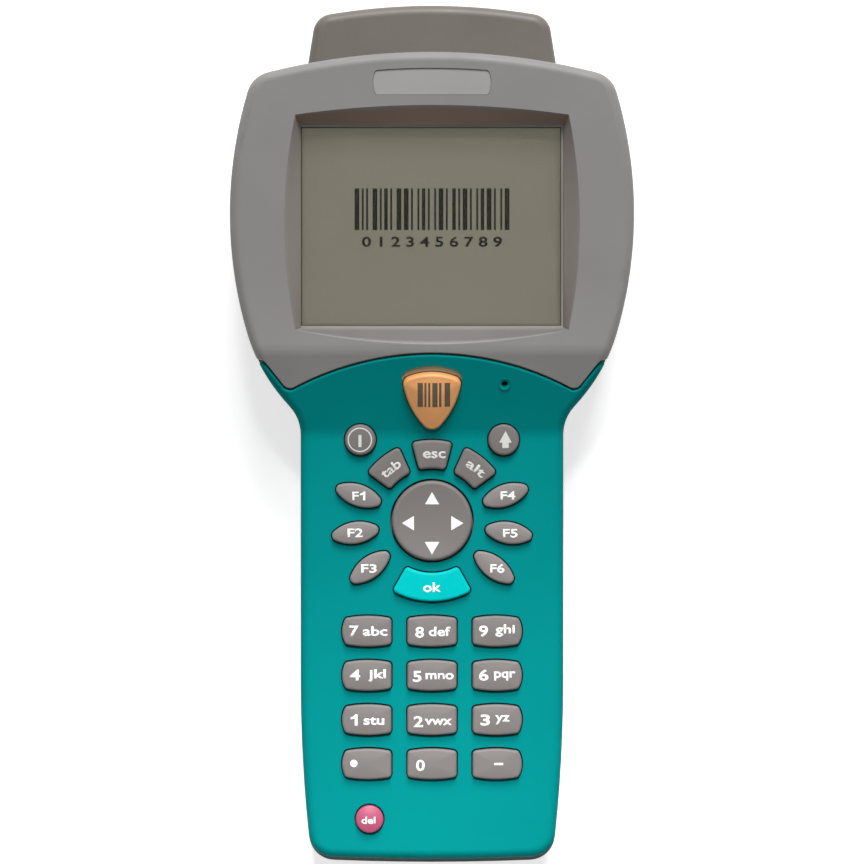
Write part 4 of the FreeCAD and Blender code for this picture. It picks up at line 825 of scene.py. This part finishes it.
class TERMINAL_OT_scan_key(bpy.types.Operator):
    """Bars on the scan key, the rubber crescent above it and the lip of the sound hole"""

    bl_idname = "terminal.scan_key"
    bl_label = "Scan key details"

    def execute(self, context):
        self.print_bars(context.scene.terminal_sizes)
        self.add_seal()
        self.add_sound_hole_rim()
        return {"FINISHED"}

    def print_bars(self, sizes):
        """Bars laid on the crowned scan key, square to the neck."""
        bars = ((-3.58, -2.25), (-1.88, -1.38), (-0.93, -0.43), (0.08, 1.38), (1.75, 2.35),
                (3.13, 4.5))
        low, high = -1.37, 4.83
        above = 5 * MM
        piece = joined([flat_box(left, right, low, high, above) for left, right in bars])
        piece.rotation_euler = (NECK_ANGLE, 0, 0)
        piece.location = NECK_ORIGIN
        drape(piece, bpy.data.objects["scan_key_cap"], sizes.ink, sizes.sunk, NECK_UP,
              cuts=12)
        dark = printed_ink("Brown pad-printed ink", "#4a4030", "#56492f")
        dress(piece, "scan_key_print", "scan_key", dark)

    def add_seal(self):
        """Crescent of rubber on the ledge that the grip shell has above the scan key."""
        ledge_depth = 1.1 * MM
        thickness = 0.75 * MM
        seal = node_copy("front_grip_shell")
        found = edit_faces(seal, lambda face: face.normal.dot(NECK_UP) > 0.999
                           and abs(neck_height(face.center) + ledge_depth) < 0.05 * MM)
        if not found:
            raise RuntimeError("the ledge above the scan key was not found")
        bpy.ops.mesh.select_all(action="INVERT")
        bpy.ops.mesh.delete(type="FACE")
        bpy.ops.mesh.select_all(action="SELECT")
        bpy.ops.mesh.extrude_region_move(
            TRANSFORM_OT_translate={"value": tuple(NECK_UP * thickness)})
        bpy.ops.mesh.select_all(action="SELECT")
        bpy.ops.mesh.normals_make_consistent(inside=False)
        bpy.ops.object.mode_set(mode="OBJECT")
        settle(seal)
        rubber = soft_rubber("Moulded silicone seal", "#a09a80", "#948f76", 0.3, 0.02)
        dress(seal, "scan_key_seal", "case", rubber)

    def add_sound_hole_rim(self):
        """Lip round the sound hole, whose inner edge is lowered so that it slopes inwards."""
        x, y = 18.1, 3.9
        outer, inner = 1.5, 0.8
        height = 0.3 * MM
        inner_height = 0.04 * MM
        sunk = 0.03 * MM
        rim = flat_ring(x, y, outer, inner, 0.0)
        thicken(rim, height)
        hole = Vector((x, y)) * MM
        for corner in rim.data.vertices:
            if corner.co.z > height / 2 and (corner.co.xy - hole).length < 1.0 * MM:
                corner.co.z = inner_height
        rim.rotation_euler = (NECK_ANGLE, 0, 0)
        rim.location = NECK_ORIGIN - NECK_UP * sunk
        settle(rim)
        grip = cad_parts["front_grip_shell"].material_slots[0].material
        dress(rim, "sound_hole_rim", "case", grip)


class TERMINAL_OT_display(bpy.types.Operator):
    """Display window, the face behind it and the plain bars and digits that it shows"""

    bl_idname = "terminal.display"
    bl_label = "Display"

    def execute(self, context):
        window = clear_sheet("Hard-coated acrylic window", "#f4f3ee", 0.0)
        # The face's glow is partly its backlight and partly painted light that hides the recess
        # wall's shadow.
        face = display_face("Transflective display, backlit with painted fill light", "#474640", "#42413c", "#57544b")
        light = moulded_plastic("White acrylic light guide", "#ecece8", "#e2e2dc", 0.2, 1.0,
                                0.01)
        steel = plated_metal("Tin-plated steel frame", "#c8c8c6", "#b5b5b4", 0.35,
                             (0.2, 1.0, 1.0))
        foam = soft_rubber("Closed-cell foam gasket", "#3c3a2e", "#34322a", 0.4, 0.05)
        paint_nodes(window, "display_window")
        paint_nodes(face, "lcd_panel")
        paint_nodes(light, "lcd_backlight")
        paint_nodes(steel, "lcd_frame")
        paint_nodes(foam, "display_gasket")
        self.draw_figures()
        self.trim_window()
        return {"FINISHED"}

    def draw_figures(self):
        """Plain bars and digits just above the display's face, with their sizes in millimetres."""
        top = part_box("lcd_panel")[1].z + 0.02 * MM
        low, high = 51.2, 61.6
        widths = (1.2, 0.5, 0.5, 1.2, 0.5, 0.9, 0.5, 1.2, 1.2, 0.5, 0.5, 0.9, 0.5, 0.5, 1.2,
                  0.5, 0.9, 0.5, 1.2, 0.5, 0.5, 0.9, 1.2, 0.5, 0.5, 1.2)
        gaps = (0.6, 0.6, 1.1, 0.6, 0.6, 0.6, 1.1, 0.6, 0.6, 1.1, 0.6, 0.6, 1.1, 0.6, 0.6,
                1.1, 0.6, 0.6, 0.6, 1.1, 0.6, 0.6, 0.6, 1.1, 0.6, 0.0)
        x = -(sum(widths) + sum(gaps)) / 2
        shapes = []
        for width, gap in zip(widths, gaps):
            shapes.append(flat_box(x, x + width, low, high, top))
            x += width + gap
        shapes.append(flat_words("0 1 2 3 4 5 6 7 8 9", -17.5, 17.5, 47.0, 2.6, 0, top))
        piece = joined(shapes)
        thicken(piece, -0.05 * MM)
        dark = printed_ink("Darkened liquid crystal", "#14130f", "#1a1914", gloss=0.1)
        dress(piece, "display_figures", "case", dark)

    def trim_window(self):
        """Pale foot of the recess's wall on three sides of the window, a painted highlight, and a
        thin olive line round the window for its edge and the shade along it.
        """
        left, low, right, high = WINDOW_OPENING
        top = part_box("display_window")[1].z
        width = 0.42
        edge_line_width = 0.3
        # The pale strip is a painted highlight at the foot of the recess's wall.
        foot = [(left, high), (left, high - width), (right - width, high - width),
                (right - width, low + width), (left, low + width), (left, low),
                (right, low), (right, high)]
        piece = flat_polygon(foot, top)
        thicken(piece, 0.12 * MM)
        pale = moulded_plastic("ABS polycarbonate, pale edge with painted highlight", "#9a9793", "#918e8a", 0.4,
                               0.45, 0.01)
        dress(piece, "window_edge_highlight", "case", pale)
        # The olive line marks the window's edge and the shade along it: partly painted shade.
        piece = flat_box(left, right - width, low + width, high - width, top)
        edit_all(piece)
        bpy.ops.mesh.inset(thickness=edge_line_width * MM, depth=0)
        bpy.ops.mesh.delete(type="FACE")
        thicken(piece, 0.05 * MM)
        olive = soft_rubber("Olive window edge line with painted shade", "#4b4632", "#423e2d", 0.3, 0.01)
        dress(piece, "window_edge_line", "case", olive)


class TERMINAL_OT_scan_head(bpy.types.Operator):
    """Scan window and the scan engine with its mirror"""

    bl_idname = "terminal.scan_head"
    bl_label = "Scan head"

    def execute(self, context):
        red = clear_sheet("Dark red filter acrylic", "#5a0c10", 0.03)
        black = moulded_plastic("Black glass-filled nylon", "#1c1c1d", "#242425", 0.5, 0.4,
                                0.03)
        zinc = plated_metal("Die-cast zinc", "#8d8f92", "#7c7e82", 0.42)
        silver = plated_metal("Front-coated mirror", "#f0f0f0", "#e8e8e8", 0.1)
        paint_nodes(red, "scan_window")
        paint_nodes(zinc, "scan_engine_body", "scan_engine_bracket")
        paint_nodes(silver, "scan_mirror")
        paint_nodes(black, "dock_connector", "buzzer", "scan_switch", "nav_pivot")
        return {"FINISHED"}


class TERMINAL_OT_inner_parts(bpy.types.Operator):
    """Finishes of the boards, ribbons, cells, contacts, screws and seals"""

    bl_idname = "terminal.inner_parts"
    bl_label = "Inner parts"

    def execute(self, context):
        board = circuit_board("Glass-epoxy board, green solder mask", "#0d4a25", "#1a6a38")
        film = ribbon_film("Polyimide ribbon", "#b06a22", "#c98446")
        mat = soft_rubber("Moulded silicone keypad", "#4c4a48", "#444240", 0.5, 0.03)
        seal = soft_rubber("Neoprene seal", "#1d1d1d", "#262626", 0.4, 0.04)
        sleeve = shrink_film("Heat-shrunk vinyl sleeve", "#27508c", "#1f4377")
        gold = plated_metal("Gold-plated phosphor bronze", "#d9b45c", "#c9a04c", 0.28)
        screw = plated_metal("Zinc-plated steel screw", "#a9acb0", "#8f9296", 0.36)
        can = plated_metal("Tin-plated shielding can", "#c2c3c3", "#adaeae", 0.33)
        coin = plated_metal("Nickel-plated cell", "#cfcfca", "#b9b9b4", 0.25)
        ceramic = moulded_plastic("Sintered ceramic", "#d8cfae", "#cabf9c", 0.45, 0.4, 0.02)
        paint_nodes(board, "main_board", "keypad_board", "radio_module")
        paint_nodes(film, "lcd_flex", "keypad_flex")
        paint_nodes(mat, "keypad_mat")
        paint_nodes(seal, "case_gasket")
        paint_nodes(sleeve, "battery_cells")
        paint_nodes(gold, "battery_contacts")
        paint_nodes(screw, "case_screws", "board_screws")
        paint_nodes(can, "processor_shield")
        paint_nodes(coin, "coin_cell")
        paint_nodes(ceramic, "antenna")
        return {"FINISHED"}


class TERMINAL_OT_back_details(bpy.types.Operator):
    """Blank label in the back's recess and the slide arrow on the battery door"""

    bl_idname = "terminal.back_details"
    bl_label = "Back details"

    def execute(self, context):
        paper = printed_ink("Blank polyester label", "#bdbcb8", "#b3b2ae")
        label = flat_box(-21.2, 21.2, 37.8, 62.2, 0.36 * MM)
        edit_all(label)
        bpy.ops.mesh.bevel(offset=1.5 * MM, segments=6, affect="VERTICES")
        bpy.ops.object.mode_set(mode="OBJECT")
        thicken(label, 0.06 * MM)
        dress(label, "blank_label", "case", paper)
        arrow = flat_polygon([(-3.0, -38.0), (0.0, -42.5), (3.0, -38.0)], 0.12 * MM)
        thicken(arrow, 0.1 * MM)
        smooth = moulded_plastic("ABS polycarbonate, smooth raised mark", "#6f6d6b", "#656361",
                                 0.4, 0.4, 0.02)
        dress(arrow, "door_arrow", "battery_door", smooth)
        return {"FINISHED"}


def add_lamp(kind, name, place, target, power):
    """Lamp that hangs at place and points to target, both in metres. Returns its data."""
    clear_selection()
    bpy.ops.object.light_add(type=kind, location=place)
    lamp = bpy.context.object
    lamp.name = name
    lamp.data.energy = power
    lamp.rotation_euler = (Vector(target) - Vector(place)).to_track_quat("-Z", "Y").to_euler()
    return lamp.data


class TERMINAL_OT_stage(bpy.types.Operator):
    """Floor, room light, lamps and camera"""

    bl_idname = "terminal.stage"
    bl_label = "Stage"

    def execute(self, context):
        stage = context.scene.terminal_stage
        self.add_floor()
        self.add_room(context.scene, stage.room)
        main = add_lamp("AREA", "main_lamp", (0.11, 1.14, 0.8), (0.0, 0.0, 0.03),
                        stage.key_power)
        main.size = 0.55
        spot = add_lamp("SPOT", "grip_lamp", (0.0, 0.35, 0.8), (0.0, -0.112, 0.03),
                        stage.low_power)
        spot.shadow_soft_size = 0.08
        spot.spot_size = radians(11.5)
        spot.spot_blend = 1.0
        self.add_camera(context.scene, stage.lens)
        context.scene.view_settings.view_transform = "Standard"
        return {"FINISHED"}

    def add_floor(self):
        """White card just under the terminal, in 16 squares."""
        width = 2.2
        gap = 0.2 * MM
        clear_selection()
        bpy.ops.mesh.primitive_plane_add(size=width, location=(0, 0, -gap))
        floor = bpy.context.object
        edit_all(floor)
        bpy.ops.mesh.subdivide(number_cuts=3)
        bpy.ops.object.mode_set(mode="OBJECT")
        settle(floor)
        floor.name = "floor"
        floor.data.materials.append(white_floor("Matt white card"))

    def add_room(self, scene, strength):
        """Even light of a given strength, which the camera, gloss and glass see as white."""
        world = bpy.data.worlds.new("room")
        world.use_nodes = True
        scene.world = world
        tree = world.node_tree
        tree.nodes.clear()
        seen = add_node(tree, "ShaderNodeMapRange",
                        {"Value": seen_directly(tree), "To Min": strength, "To Max": 1.0})
        light = add_node(tree, "ShaderNodeBackground",
                         {"Color": linear("#ffffff"), "Strength": seen.outputs["Result"]})
        add_node(tree, "ShaderNodeOutputWorld", {"Surface": light.outputs[0]})

    def add_camera(self, scene, lens):
        """Camera that looks straight down on the front, a little beyond the middle."""
        height = 0.93
        beyond = 0.75 * MM
        clear_selection()
        bpy.ops.object.camera_add(location=(0, beyond, height), rotation=(0, 0, 0))
        camera = bpy.context.object
        camera.data.lens = lens
        camera.data.sensor_width = 36
        camera.data.clip_start = 0.01
        scene.camera = camera


class TERMINAL_PT_panel(bpy.types.Panel):
    """Sidebar panel that lists the terminal's settings and builders"""

    bl_idname = "TERMINAL_PT_panel"
    bl_label = "Barcode terminal"
    bl_space_type = "VIEW_3D"
    bl_region_type = "UI"
    bl_category = "Terminal"

    def draw(self, context):
        layout = self.layout
        for group in (context.scene.terminal_finish, context.scene.terminal_sizes,
                      context.scene.terminal_stage):
            for name in group.__annotations__:
                layout.prop(group, name)
        for builder in BUILDERS:
            layout.operator(builder.bl_idname)


BUILDERS = (TERMINAL_OT_case, TERMINAL_OT_keys, TERMINAL_OT_legends, TERMINAL_OT_scan_key,
            TERMINAL_OT_display, TERMINAL_OT_scan_head, TERMINAL_OT_inner_parts,
            TERMINAL_OT_back_details, TERMINAL_OT_stage)
GROUPS = (TerminalFinish, TerminalSizes, TerminalStage)


def register():
    """Adds the classes and the scene's settings."""
    for part in GROUPS + BUILDERS + (TERMINAL_PT_panel,):
        bpy.utils.register_class(part)
    bpy.types.Scene.terminal_finish = PointerProperty(type=TerminalFinish)
    bpy.types.Scene.terminal_sizes = PointerProperty(type=TerminalSizes)
    bpy.types.Scene.terminal_stage = PointerProperty(type=TerminalStage)


def unregister():
    """Takes the settings and the classes away again."""
    del bpy.types.Scene.terminal_stage
    del bpy.types.Scene.terminal_sizes
    del bpy.types.Scene.terminal_finish
    for part in reversed(GROUPS + BUILDERS + (TERMINAL_PT_panel,)):
        bpy.utils.unregister_class(part)


def main():
    """Builds the whole scene."""
    register()
    bpy.ops.terminal.case()
    bpy.ops.terminal.keys()
    bpy.ops.terminal.legends()
    bpy.ops.terminal.scan_key()
    bpy.ops.terminal.display()
    bpy.ops.terminal.scan_head()
    bpy.ops.terminal.inner_parts()
    bpy.ops.terminal.back_details()
    bpy.ops.terminal.stage()
    clear_selection()
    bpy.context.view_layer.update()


if __name__ == "__main__":
    main()
